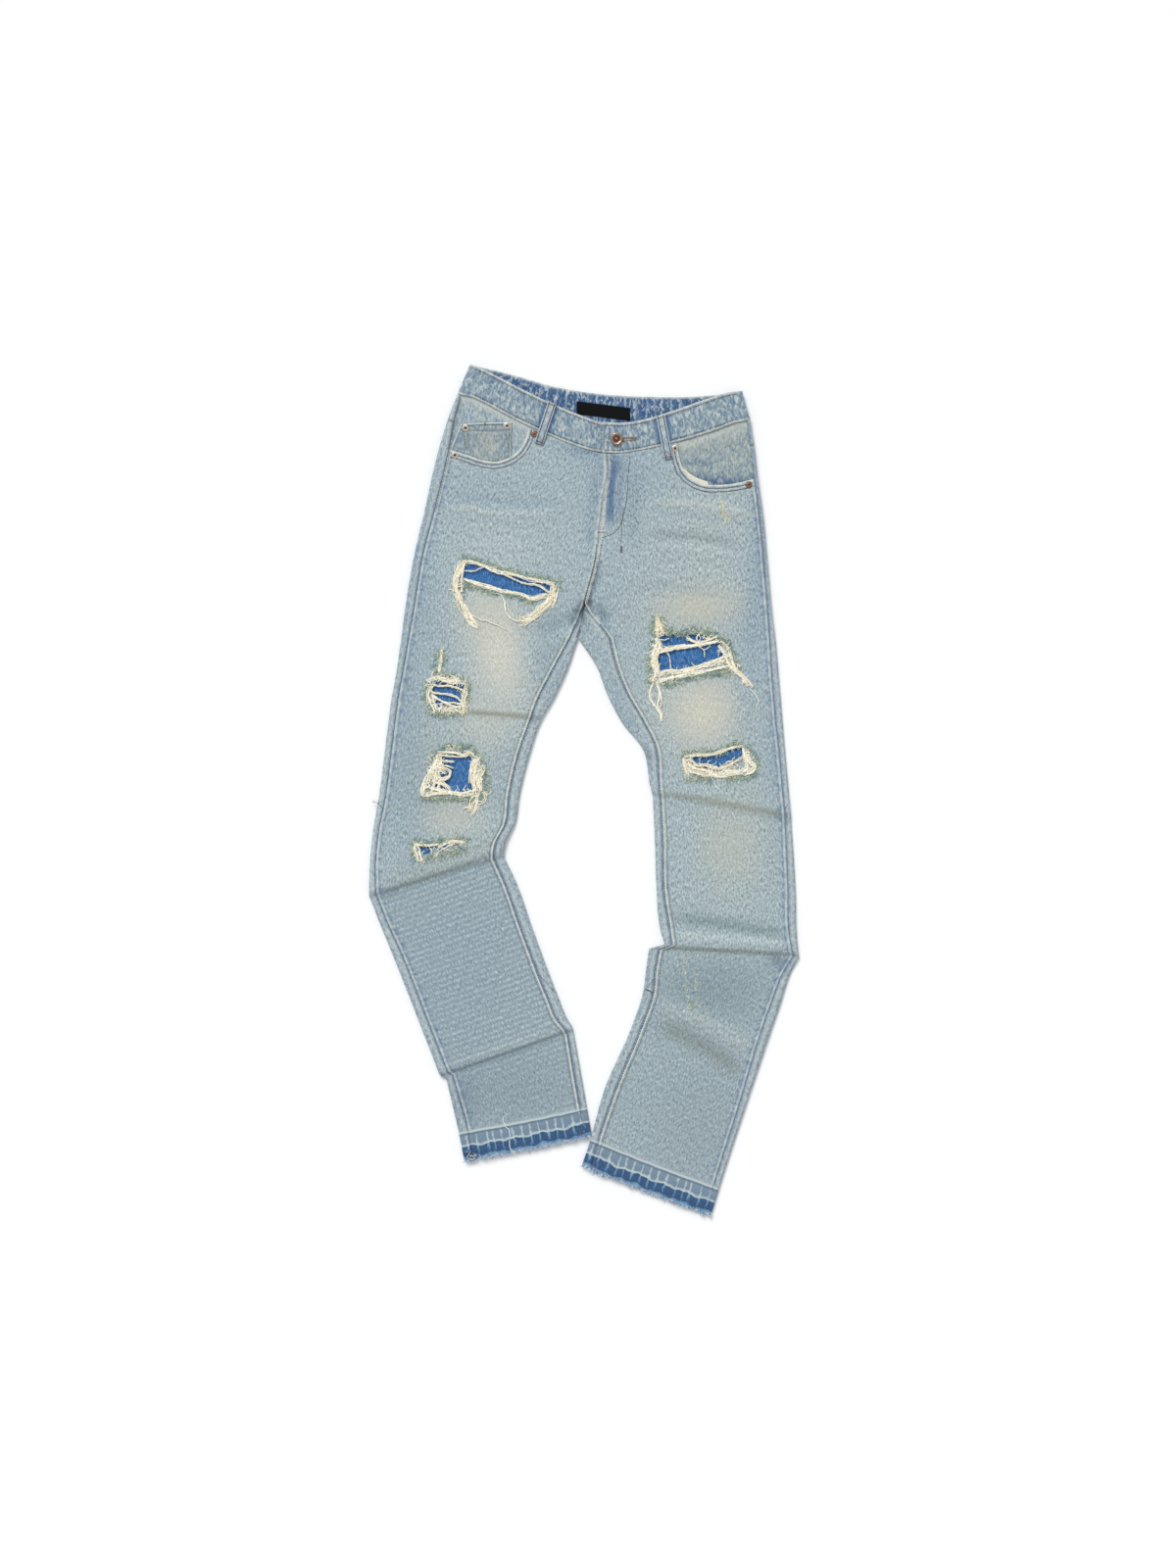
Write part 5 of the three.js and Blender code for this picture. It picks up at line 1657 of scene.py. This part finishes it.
# %% Strand places
# Each bundle: its spread, its strands, then x and y of each point of its path in turn.
STRANDS = {
    "right_thigh": [
        (3, 6, -160, 303, -144, 300, -131, 295, -119, 290, -105, 287, -90, 284, -73, 279, -54, 275, -39,
         272), (1.6, 3, -111, 287, -97, 281, -80, 274, -59, 270, -49, 263, -43, 261),
        (1.2, 2, -158, 290, -150, 289, -142, 291, -135, 294, -127, 295),
        (3.6, 7, -159, 279, -147, 275, -134, 271, -121, 267, -105, 263, -85, 259, -67, 253, -57, 256, -50,
         259),
        (6.5, 12, -160, 304, -167, 289, -172, 275, -171, 264, -166, 253, -162, 243, -156, 233, -149, 223,
         -142, 215), (2.4, 4, -159, 300, -161, 286, -162, 262),
        (3, 4, -158, 235, -153, 223, -146, 217, -141, 214),
        (0.8, 1, -152, 233, -140, 226, -125, 222, -111, 216, -101, 211),
        (7, 12, -39, 271, -41, 258, -47, 247, -57, 239, -66, 231, -77, 224, -86, 223),
        (1, 2, -77, 224, -86, 223, -95, 226, -101, 232, -105, 241, -106, 251, -112, 259, -116, 260),
        (3, 4, -38, 262, -39, 249, -42, 241),
    ],
    "right_upper_knee": [
        (2.6, 4, -188, 186, -189, 174, -190, 168, -191, 162, -192, 154),
        (1.2, 2, -197, 157, -200, 155, -201, 152, -198, 148),
        (2.4, 4, -196, 151, -188, 149, -179, 147, -169, 147, -164, 144),
        (3, 5, -208, 143, -202, 146, -194, 147, -185, 144, -173, 143, -156, 141),
        (2.2, 4, -200, 140, -189, 138, -179, 138, -166, 134, -157, 130),
        (2, 3, -204, 133, -199, 129, -190, 128, -181, 127, -173, 125, -164, 119, -161, 113),
        (2, 4, -202, 127, -198, 123, -192, 119, -183, 115, -172, 115, -160, 114),
        (1.8, 3, -192, 113, -185, 115, -176, 111, -165, 110, -159, 111),
        (2, 3, -185, 107, -176, 108, -166, 105, -159, 102),
        (3, 5, -204, 137, -207, 127, -204, 117, -200, 109, -197, 102, -202, 102),
        (2, 3, -202, 126, -199, 117, -196, 107, -194, 105, -188, 113),
        (3.4, 6, -157, 141, -156, 130, -159, 120, -159, 110, -161, 98),
    ],
    "right_knee": [
        (3, 5, -194, 49, -181, 50, -168, 48, -160, 45, -150, 49, -144, 43),
        (2, 3, -192, 46, -179, 45, -164, 44, -153, 46),
        (0.8, 1, -187, 52, -183, 58, -173, 59, -174, 55, -183, 52),
        (5, 9, -144, 42, -145, 31, -147, 20, -145, 6, -143, -2),
        (5, 8, -137, 31, -134, 26, -139, 19, -139, 6, -137, -2),
        (2, 3, -145, 41, -149, 35, -151, 26, -152, 18, -153, 9),
        (4.4, 8, -214, -8, -197, -6, -173, -5, -156, -6, -144, -3),
        (5, 9, -193, 48, -196, 37, -201, 26, -207, 15, -212, 2, -214, -8),
        (4, 6, -189, 45, -191, 31, -194, 20, -189, 11, -183, 6, -176, -2),
        (1.6, 3, -189, 37, -181, 38, -172, 37), (1.6, 3, -190, 31, -183, 32, -173, 28),
        (2.2, 4, -193, 26, -186, 28, -178, 24, -178, 19, -183, 15, -191, 13),
        (2, 3, -197, 21, -191, 15, -183, 16, -177, 19), (2, 3, -206, 13, -195, 10, -184, 6),
        (2.4, 4, -209, 5, -197, 1, -181, -2), (2.4, 4, -199, 26, -197, 15, -202, -2),
        (2.4, 4, -191, 10, -193, 1, -187, -5), (2.4, 3, -144, -2, -144, -12, -149, -21, -151, -29),
        (2.6, 4, -139, -2, -141, -12, -143, -23, -149, -33),
        (2, 3, -134, -2, -130, -9, -135, -18, -140, -21), (1.6, 2, -146, -2, -149, -10, -152, -28),
        (1.2, 2, -134, -4, -129, -6, -124, -4, -122, -1), (1, 1, -150, 54, -144, 47, -139, 40),
    ],
    "right_shin": [
        (2.6, 4, -223, -71, -224, -77, -222, -84, -220, -91, -219, -95),
        (2, 3, -220, -74, -217, -81, -217, -86, -214, -94),
        (2.6, 4, -225, -72, -217, -74, -207, -74, -197, -73, -192, -72),
        (2.6, 4, -193, -76, -184, -71, -173, -68, -164, -68, -157, -69),
        (1.2, 2, -158, -70, -167, -71, -176, -73, -184, -77, -191, -82, -195, -87, -199, -90),
    ],
    "left_thigh": [
        (4, 6, 97, 232, 101, 222, 104, 212, 104, 204), (3, 5, 97, 232, 96, 221, 96, 209, 98, 202),
        (1.8, 3, 136, 203, 143, 198, 151, 195, 155, 196, 168, 200, 177, 204),
        (1.8, 3, 135, 200, 143, 197, 155, 193, 166, 194, 178, 197),
        (3, 6, 96, 188, 113, 188, 129, 191, 144, 192, 155, 193, 166, 195, 178, 197),
        (2.6, 5, 96, 180, 108, 184, 120, 187, 135, 189, 149, 191), (1.4, 2, 149, 197, 149, 202, 153, 207),
        (1.4, 2, 159, 206, 161, 200, 166, 201), (1.4, 2, 98, 200, 106, 199, 113, 201),
        (1.6, 2, 109, 184, 112, 178, 114, 169, 115, 159), (1, 1, 151, 190, 158, 184, 160, 175),
        (1, 1, 158, 185, 163, 187, 166, 189),
        (4.4, 8, 98, 153, 110, 157, 129, 157, 149, 161, 165, 167, 180, 173, 189, 175),
        (3.4, 6, 95, 141, 111, 147, 135, 152, 160, 157, 180, 161, 192, 163),
        (4.6, 8, 96, 202, 97, 192, 92, 180, 91, 167, 94, 154, 90, 143),
        (3.4, 6, 97, 200, 101, 190, 96, 178, 97, 163, 100, 153),
        (2.4, 4, 92, 143, 88, 133, 87, 124, 94, 111, 101, 100, 103, 91),
        (2, 3, 97, 143, 100, 126, 97, 111, 102, 101, 103, 91), (1.2, 2, 96, 140, 102, 126, 102, 109),
        (4, 7, 179, 192, 186, 180, 192, 167, 203, 157, 214, 147, 224, 136),
        (3, 5, 180, 197, 190, 188, 194, 175, 199, 163, 208, 153, 216, 137),
        (0.8, 1, 219, 135, 226, 128, 231, 118, 228, 108),
    ],
    "left_knee": [
        (2.6, 5, 132, 43, 141, 45, 156, 46, 171, 47, 186, 52, 197, 56, 210, 58),
        (3.6, 6, 210, 56, 212, 48, 215, 40, 222, 35, 226, 31, 221, 24, 212, 21),
        (2.4, 4, 211, 46, 214, 38, 216, 29, 210, 23),
        (2.6, 5, 133, 40, 143, 38, 148, 33, 158, 33, 171, 30, 178, 28, 186, 30, 197, 35, 208, 43),
        (3, 6, 134, 27, 145, 24, 156, 20, 170, 20, 182, 17, 193, 20, 210, 23),
        (2.4, 4, 136, 35, 145, 29, 158, 26, 170, 23, 179, 20),
        (2.4, 4, 179, 20, 186, 24, 197, 24, 210, 27, 215, 32), (1.2, 2, 139, 17, 138, 22, 144, 24, 154, 20),
        (1, 1, 167, 18, 171, 12, 174, 6, 180, 0), (3, 5, 132, 42, 133, 35, 135, 27, 136, 20),
    ],
}
# Lines of fringe: how many fibres, then the path. The cloth they grow over is to its left.
FRINGES = {
    "right_thigh": [
        (150, -163, 306, -149, 305, -131, 300, -111, 293, -95, 288, -80, 284, -59, 280, -38, 275, -34, 268),
        (150, -64, 249, -80, 253, -100, 259, -121, 263, -142, 268, -158, 274),
        (40, -158, 272, -166, 255, -150, 226),
    ],
    "right_upper_knee": [
        (70, -200, 152, -185, 151, -176, 151, -166, 147, -157, 142), (40, -160, 103, -173, 102, -185, 103),
        (40, -185, 101, -196, 101, -205, 102), (40, -156, 141, -155, 130, -157, 117),
        (40, -205, 104, -209, 120, -208, 140), (26, -191, 186, -196, 170, -196, 156),
        (26, -196, 156, -184, 170, -186, 186),
    ],
    "right_knee": [
        (150, -131, -8, -148, -11, -173, -10, -197, -10, -215, -10),
        (90, -194, 50, -183, 55, -168, 55, -152, 56, -143, 45),
        (60, -141, 41, -133, 26, -129, 10, -131, -3), (60, -212, 0, -202, 26, -195, 48),
    ],
    "right_shin": [
        (50, -228, -70, -217, -70, -204, -71, -197, -71), (70, -195, -70, -182, -67, -167, -65, -153, -66),
        (80, -156, -76, -173, -82, -186, -85, -198, -87, -212, -89), (30, -223, -92, -225, -82, -226, -72),
    ],
    "left_thigh": [
        (170, 106, 210, 114, 207, 131, 208, 149, 209, 165, 207, 180, 201, 193, 194),
        (150, 196, 158, 170, 154, 149, 151, 129, 146, 105, 138), (70, 86, 142, 87, 163, 90, 184, 95, 202),
        (40, 189, 196, 196, 180, 206, 160), (34, 92, 205, 92, 220, 95, 232),
        (34, 97, 232, 106, 218, 112, 208),
    ],
    "left_knee": [
        (150, 128, 45, 145, 48, 160, 49, 174, 49, 189, 55, 210, 62),
        (60, 170, 14, 156, 16, 145, 15, 135, 15), (70, 229, 22, 215, 19, 201, 16, 188, 14),
        (40, 214, 58, 224, 44, 230, 28),
    ],
}
# Lines of loose cream curls, where the broken weft has matted: how many, then the path.
NESTS = {
    "right_thigh": [
        (26, -162, 298, -169, 275, -160, 240), (24, -42, 262, -52, 243, -80, 225),
    ],
    "right_upper_knee": [
        (34, -200, 148, -178, 148, -160, 142), (34, -200, 112, -180, 106, -162, 106),
        (26, -203, 140, -203, 122, -199, 108), (26, -160, 138, -159, 120, -163, 104),
    ],
    "right_knee": [
        (60, -195, 44, -202, 20, -210, 0), (34, -190, 38, -192, 18, -186, 2),
        (60, -141, 40, -141, 18, -141, -4), (20, -140, -6, -145, -18, -150, -26),
        (36, -210, -5, -180, -6, -146, -4), (20, -188, 52, -170, 54, -152, 48),
    ],
    "right_shin": [
        (18, -222, -72, -220, -84, -217, -94), (18, -214, -74, -190, -76, -160, -69),
    ],
    "left_thigh": [
        (34, 100, 226, 102, 214, 106, 206), (50, 96, 200, 93, 176, 95, 148),
        (60, 98, 147, 130, 153, 165, 163, 188, 170), (44, 184, 186, 196, 166, 214, 144),
        (14, 150, 197, 166, 198, 178, 200),
    ],
    "left_knee": [
        (30, 136, 40, 137, 30, 140, 20), (70, 142, 28, 170, 22, 205, 24), (40, 212, 50, 219, 38, 216, 26),
        (20, 150, 34, 178, 30, 204, 38),
    ],
}
print("bundles:", sum(map(len, STRANDS.values())), "fringe lines:", sum(map(len, FRINGES.values())))

# %% [markdown]
# The strands and the fringe of one rip are joined into one piece each.

# %% Strands and fringe
def pairs(numbers):
    """Points from x and y in turn."""
    return np.reshape(numbers, (-1, 2))


strand_pieces, fringe_pieces = {}, {}
for number, name in enumerate(STRANDS):
    sheets = []
    for order, (spread, strands, *path) in enumerate(STRANDS[name]):
        sheets.append(thread_sheet(*bundle(pairs(path), spread, 100 * number + order, strands)))
    for order, (curls, *path) in enumerate(NESTS[name]):
        seed = 9000 + 100 * number + order
        curls = wisps(pairs(path), curls, (5, 13), seed, 5, 0.5, (0.9, 2.6), CREAM, (0.36, 0.6))
        sheets.append(thread_sheet(*curls))
    piece = mesh_of("strands_" + name, joined(sheets), [COTTON_YARN])
    strand_pieces[name] = enter(piece)
    sheets = []
    for order, (fibres, *path) in enumerate(FRINGES[name]):
        curls = wisps(pairs(path), int(fibres * 1.8), (3, 9), 7000 + 100 * number + order, spread=5)
        sheets.append(thread_sheet(*curls, 4))
    piece = mesh_of("fringe_" + name, joined(sheets), [COTTON_YARN])
    fringe_pieces[name] = enter(piece)
print("strand faces:", sum(len(p.data.polygons) for p in strand_pieces.values()))
print("fringe faces:", sum(len(p.data.polygons) for p in fringe_pieces.values()))

# %% [markdown]
# ## Stitches
# A row is a chain of short tubes, one for each stitch. The thread is brown, or has faded to pale;
# rows that lie in a groove are given navy and dark brown thread, which also stands for the groove's
# shade, and read as a dark dashed line. Bartacks are dense zigzags.

# %% Stitch rows
BROWN = "#7d5f49"
NAVY = "#2c3c58"
PALE = "#e2e5df"


def stitch_paths(path, period, length, lift, arch=0.25):
    """One arched path for each stitch along a flat line."""
    line = through(path, 0.8)
    whole = lengths(line)
    start = np.arange(0.4, whole[-1] - length, period)
    place = start[:, None] + np.linspace(0, length, 4)
    x, y = np.interp(place, whole, line[:, 0]), np.interp(place, whole, line[:, 1])
    return on_top(x, y, lift + arch * np.array([0, 1, 1, 0]) * np.ones_like(x))


def stitches(rows):
    """Many rows as one sheet. A row is its path, colour, radius, lift, period and length."""
    sheets = []
    for path, colour, radius, lift, period, length in rows:
        paths = stitch_paths(path, period, length, lift)
        sheets.append(thread_sheet(paths, radius, linear(colour), 5, 0.6))
    return joined(sheets)


def row(path, colour=BROWN, radius=0.42, lift=0.8, period=3.6, length=2.8):
    """A row of stitches with the usual thread."""
    return path, colour, radius, lift, period, length


def offset(path, distance):
    """The line beside a flat path, to its left by a distance."""
    line = through(path, 3)
    _, left = sides(line)
    return line + left * distance


def seam_line(side, edge, distance, first=0.0, last=None):
    """A line on a leg at a distance from its side seam or inseam, inwards on the front panel."""
    leg = LEGS[side]
    rows = Rows(leg, np.linspace(first, len(leg) - 1 if last is None else last, 160))
    if edge == "outer":
        d = rows.wrap_outer + distance
    else:
        d = rows.width - rows.wrap_inner - distance
    x, y = rows.at(d[:, None])
    return np.stack([x[:, 0], y[:, 0]], -1)


def bartack(start, end, colour=BROWN, width=2.6, lift=0.9):
    """A dense zigzag from one place to another."""
    start, end = np.array(start, float), np.array(end, float)
    length = np.linalg.norm(end - start)
    along = (end - start) / length
    left = np.array([-along[1], along[0]])
    place = np.arange(0, length, 0.55)
    flip = np.where(np.arange(len(place)) % 2, 0.5, -0.5) * width
    line = start + along * place[:, None] + left * flip[:, None]
    paths = on_top(line[None, :, 0], line[None, :, 1], lift)
    return thread_sheet(paths, 0.36, linear(colour), 4, 1)


# Rows beside the pocket mouths, in the mouth hems' two grooves.
mouth_rows = []
for side, path in MOUTHS.items():
    for distance in (3.9, 8.6):
        line = offset(path, -distance)
        below = line[:, 1] < band_foot(BAND_FRONT, line[:, 0]) - 2.5
        edge = seam_line(side, "outer", 1.0, 0, 7)[::-1]
        limit = np.interp(line[:, 1], edge[:, 1], edge[:, 0])
        within = line[:, 0] > limit if side == "right" else line[:, 0] < limit
        mouth_rows.append(row(line[below & within], "#453c38" if side == "left" else "#6a5646", lift=0.95))

fly_rows = [
    row([(61, 441), (58.5, 418.6), (57, 391), (52, 364), (45, 346), (36, 338.6), (23.5, 334)], "#665c54"),
    row([(52, 372), (50, 350), (49, 324)], "#5e6670", radius=0.34),
]
# Besides the side seams, these rows show the ends of the two calf seams at the edge of each leg.
side_rows = [
    row([(80, -261.5), (91, -266.5)], PALE, radius=0.5, lift=1.0, period=3, length=2.9),
    row([(82, -264), (92, -269)], NAVY, radius=0.6, lift=1.0, period=3, length=2.9),
    row([(-281, -13), (-270, -15.5)], PALE, radius=0.45, lift=1.0, period=3, length=2.9),
    row([(-281, -15.5), (-270, -18)], NAVY, radius=0.45, lift=1.0, period=3, length=2.9),
    row(seam_line("right", "outer", 1.6, 0.1, 3.0), "#6d6a66"),
    row(seam_line("left", "outer", 1.6, 2.6, 4.4), "#7c7468"),
]
# The inseam is felled and stitched twice; the centre seam too, below the fly.
inseam_rows = []
for side, leg in LEGS.items():
    last = len(leg) - 1
    inseam_rows += [
        row(seam_line(side, "inner", 1.3, 5.6, last), "#34405a", radius=0.45),
        row(seam_line(side, "inner", 3.2, 5.8, last), PALE, radius=0.5, period=3.3, length=3.2),
        row(seam_line(side, "inner", 6.6, 6.0, last), "#8f8474", radius=0.36),
    ]
centre_rows = [
    row(seam_line("right", "inner", 1.6, 3.6, 5.4), "#34405a", radius=0.5),
    row(seam_line("left", "inner", 0.8, 3.6, 5.4), PALE, radius=0.5, period=3.3, length=3.2),
    row(seam_line("left", "inner", 4.2, 3.6, 5.4), "#4a5468"),
    row(seam_line("left", "inner", 1.7, 0.1, 3.4), "#8f8577", radius=0.36),
]
coin_rows = [
    row([(-162, 481.6), (-130, 483.5), (-97.5, 484.4)], "#8b8266", lift=0.9),
    row([(-162, 475.2), (-130, 476.6), (-97.5, 477.4)], "#a39c84", lift=0.9),
    row([(-159.6, 481), (-158, 465), (-156.5, 449)], "#93886f", lift=0.8),
    row([(-155, 474), (-153.5, 462), (-152, 447)], "#8f9a97", lift=0.7),
    row([(-99, 482), (-97, 462), (-96, 447)], "#93886f", lift=0.8),
    row([(-103.6, 475), (-101.6, 462), (-100.4, 446)], "#8f9a97", lift=0.7),
]
ALL_ROWS = {
    "mouths": mouth_rows, "fly": fly_rows, "sides": side_rows, "inseams": inseam_rows,
    "centre": centre_rows, "coin_pocket": coin_rows,
}
stitch_pieces = {}
for name, rows in ALL_ROWS.items():
    stitch_pieces[name] = enter(mesh_of("stitches_" + name, stitches(rows), [SEWING_THREAD]))
print("stitch faces:", sum(len(p.data.polygons) for p in stitch_pieces.values()))

# %% [markdown]
# The band has a row inside each edge, and so have the front loops, with a bartack at head and foot.

# %% Band, loops, bartacks and buttonhole
def band_line(share, first, last):
    """The flat line on the band's front at a share of its height, between two x places."""
    course = through(BAND_FRONT, 3)
    line = course[:, :2] * (1 - share) + course[:, 2:] * share
    return line[(line[:, 0] > first) & (line[:, 0] < last)]


band_rows = []
for share in (0.1, 0.9):
    for first, last in ((-150, 24), (26, 206)):
        line = band_line(share, first, last)
        band_rows.append(row(line, "#4a4443" if share > 0.5 else "#6e6259", lift=2.0, radius=0.4))
band_rows.append(row([(26.5, 484), (26.5, 466), (26.5, 450)], "#8d8378", lift=2.0))
tacks = []
for head, foot in FRONT_LOOPS.values():
    head, foot = np.array(head, float), np.array(foot, float)
    down = (foot - head) / np.linalg.norm(foot - head)
    across = np.array([-down[1], down[0]])
    for way in (-1, 1):
        beside = across * 3.7 * way
        line = evenly([head + beside, foot + beside], 30)
        band_rows.append(row(line, "#3d4354", lift=4.5, radius=0.45))
    top, low = head + down * 2.5, foot - down * 2.5
    tacks.append(bartack(top - across * 5, top + across * 5, "#b08a5e", 1.8, 4.7))
    tacks.append(bartack(low - across * 5, low + across * 5, "#8d6d50", 1.8, 3.2))
extra = [stitches(band_rows), *tacks]
extra.append(bartack((49.5, 323), (49, 314), "#56504c", 2.4))
extra.append(bartack((18, 341), (27, 341), "#6f4c3a", 1.6))
extra.append(bartack((-131, 482), (-131, 487), "#7c7c58", 2.2, 1.1))
for way in (-1, 1):
    extra.append(bartack((51, 463.5 + 2.1 * way), (67, 464.5 + 1.2 * way), "#b8935c", 2.4, 2.3))
extra.append(bartack((67.5, 461.6), (68.5, 466.8), "#9a7446", 1.8, 2.4))
trim_threads = enter(mesh_of("stitches_band_loops", joined(extra), [SEWING_THREAD]))
print("band and loop threads:", len(trim_threads.data.polygons), "faces")

# %% [markdown]
# ## Frayed hems, scuffs and loose ends
# The raw hems have frayed to short blue and white fibres, with one long loose thread and a tangle at
# the right hem's outer corner. Two rubbed places show specks of broken weft.

# %% Hem fray and scuffs
FADED = ("#8fb0cc", "#5f86b0", "#c9d8e2", "#e8eef0", "#3f6a9c", "#a9c0d4")
TANGLED = ("#e8ecea", "#24324c", "#d9dfe0", "#33486a")
SPECKS = ("#e9e2bd", "#dcd8ae", "#f2edd6", "#c9cda8")


def hem_line(side, inset=1.0):
    """The raw edge of a leg, from its outer to its inner end."""
    leg = LEGS[side]
    rows = Rows(leg, np.array([len(leg) - 1.0]))
    d = np.linspace(inset, rows.width[0] - inset, 60)
    x, y = rows.at(d[None])
    return np.stack([x[0], y[0]], -1)


sheets = []
for number, side in enumerate(LEGS):
    line = hem_line(side)[::-1]
    for order, (count, size) in enumerate(((420, (1.5, 5)), (120, (4, 8)))):
        seed = 8100 + 10 * number + order
        sheets.append(thread_sheet(*wisps(line, count, size, seed, 3, 0.3, (-3, 0.6), FADED, (0.16, 0.3)), 4))
corner = [(-157, -478), (-150, -484), (-143, -482), (-147, -489), (-154, -486), (-150, -478)]
paths, radius, colours = bundle(corner, 5, 8200, 5, (0.4, 1.4), (0.25, 0.4))
colours = pick(TANGLED, len(paths), np.random.default_rng(8202))
sheets.append(thread_sheet(paths, radius, colours))
loose = [(-103, -431), (-108, -436), (-103, -446), (-98, -454), (-99, -464), (-98, -474), (-91, -484)]
paths, radius, colours = bundle(loose, 0.5, 8201, 1, (1.0, 1.6), (0.5, 0.55))
colours = np.broadcast_to(linear("#f4f5ef"), np.shape(colours))
sheets.append(thread_sheet(paths, radius, colours))
hem_fray = enter(mesh_of("hem_fray", joined(sheets), [COTTON_YARN]))

sheets = []
SCUFFS = [
    ([(177, 382), (186, 381), (180, 376)], 26), ([(186, 372), (182, 366), (190, 362)], 26),
    ([(194, 366), (191, 356), (184, 352)], 22), ([(131, -214), (135, -250), (139, -290)], 40),
    ([(146, -235), (149, -270), (153, -304)], 34),
]
for number, (path, count) in enumerate(SCUFFS):
    specks = wisps(path, count, (2, 5), 8300 + number, 2.5, 0.5, (0.7, 1.0), SPECKS, (0.24, 0.4))
    sheets.append(thread_sheet(*specks, 4))
scuffs = enter(mesh_of("scuffed_weft", joined(sheets), [COTTON_YARN]))
print("fray and scuffs:", len(hem_fray.data.polygons), len(scuffs.data.polygons))

# %% [markdown]
# ## Metal and label
# The tack button has a raised ring, a dished face with a low dome, and fine notches. The rivets are
# small domes on flat rims. The label is a bare ribbon, sewn flat inside the back waistband.

# %% Button, rivets, label
BUTTON_PROFILE = [
    (0, 4.0), (0.8, 3.95), (1.4, 3.7), (1.9, 3.2), (2.6, 3.05), (4.4, 3.05), (5.2, 3.15), (5.8, 3.5),
    (6.4, 3.75), (7.2, 3.75), (7.9, 3.55), (8.4, 3.1), (8.5, 2.5), (8.2, 1.9), (7.6, 1.6), (3.2, 1.4),
    (3.2, 0),
]
RIVET_PROFILE = [
    (0, 1.6), (0.5, 1.58), (1.0, 1.35), (1.4, 0.95), (2.0, 0.85), (2.8, 1.0), (3.6, 0.95), (4.2, 0.75),
    (4.55, 0.4), (4.6, 0),
]
AROUND = 48


def turned(name, profile, x, y, lift, tints, notches=0):
    """A turned piece: its profile goes round its axis, with a shallow notch at each of some steps.
    Tints are radii and colours, from the middle outwards."""
    radius, height = np.array(profile, float).T
    angle = np.arange(AROUND) / AROUND * 2 * np.pi
    base = top_height(np.float64(x), np.float64(y)) + lift
    cut_in = 0.12 * np.cos(angle * notches)[:, None] * bell(radius, 6.6, 1.2) * (notches > 0)
    px = x + np.cos(angle)[:, None] * radius
    py = y + np.sin(angle)[:, None] * radius
    pz = base + height + cut_in + 0 * px
    points = np.stack([px, py, pz], -1).transpose(1, 0, 2)
    stops = [reach for reach, _ in tints]
    colours = np.array([linear(tint) for _, tint in tints])
    dye = np.stack([np.interp(radius, stops, colours[:, i]) for i in range(3)], -1)
    sheet = grid(points, 0.0, 0.0, dye[:, None], closed=True)
    sheet["faces"] = sheet["faces"][:, ::-1]
    return mesh_of(name, sheet, [COPPER], weld=True)


# The pale middle stands in for the highlight on the button's dome; the dark dish and the pale ring are the
# metal's own tarnish and rub.
BUTTON_TINTS = [
    (0, "#c09a86"), (1.6, "#8c6554"), (2.6, "#6b4a3e"), (4.6, "#7c5b4e"), (5.6, "#b5a096"), (8.5, "#a8948a"),
]
PALE_TINTS = [(0, "#4a332b"), (1.3, "#5a3f35"), (2.2, "#d8cdc4"), (4.6, "#e6e0d8")]
BROWN_TINTS = [(0, "#6e4630"), (1.3, "#84563f"), (2.2, "#a58775"), (4.6, "#8d7465")]
button = turned("tack_button", BUTTON_PROFILE, 43, 464, BAND_LIFT + BAND / 2 + 0.4, BUTTON_TINTS, 24)
enter(button, "copper", "button")
RIVETS = {
    "coin_outer": (-157, 479, 0.7, PALE_TINTS), "coin_inner": (-102, 482, 0.7, PALE_TINTS),
    "right_side": (-171, 443, 1.0, PALE_TINTS), "right_waist": (-66, 471, 1.0, BROWN_TINTS),
    "left_waist": (120.5, 452, 1.0, PALE_TINTS), "left_side": (218, 404, 1.0, BROWN_TINTS),
}
for name, (x, y, lift, tints) in RIVETS.items():
    enter(turned(f"{name}_rivet_head", RIVET_PROFILE, x, y, lift, tints), "copper", "rivet_" + name)

LABEL_CORNERS = ((-10, 515), (61, 506), (61, 489), (-10, 498))
u = np.linspace(0, 1, 40)[None, :, None]
v = np.linspace(0, 1, 12)[:, None, None]
corner = [np.array(c, float) for c in LABEL_CORNERS]
flat = (corner[0] * (1 - u) + corner[1] * u) * (1 - v) + (corner[3] * (1 - u) + corner[2] * u) * v
z = BAND_LOW + BAND / 2 + 0.6 + 0 * flat[..., :1]
sheet = grid(np.concatenate([flat, z], -1), flat[..., 0], 900 + flat[..., 1], linear("#1c2026"))
label = enter(thicken(mesh_of("woven_label", sheet, [RIBBON]), 0.6), "label_weave", "label")
print("metal and label made")

# %% [markdown]
# ## The floor
# A wide, level, very pale floor under the garment.

# %% Floor
FLOOR_SIZE = 8
PAPER = Finish("pale_paper_floor").done(rgba("#fdfdfd"), Roughness=0.95)
bpy.ops.mesh.primitive_plane_add(size=FLOOR_SIZE, location=(0, 0, -0.0003))
floor = bpy.context.object
floor.name = "studio_floor"
floor.data.materials.append(PAPER)

# %% [markdown]
# ## Pieces by side
# The torn threads and the mouth hem of each side are listed under that side, and the left side also
# takes the scuffs, the hem fray and the fly, side, inseam and centre stitch rows.

# %% Pieces by side
torn_threads = [*strand_pieces.items(), *fringe_pieces.items()]
MINE = {}
for side in LEGS:
    MINE[side] = [piece for name, piece in torn_threads if name.startswith(side)] + [mouth_hems[side]]
MINE["left"] += [scuffs, hem_fray, *(stitch_pieces[name] for name in ("fly", "sides", "inseams", "centre"))]
for name, piece in patches.items():
    x0, y0, x1, y1 = PATCHES[name]

# %% [markdown]
# ## Finish
# The number of pieces made is printed.

# %% Finish
print("pieces:", len(made))
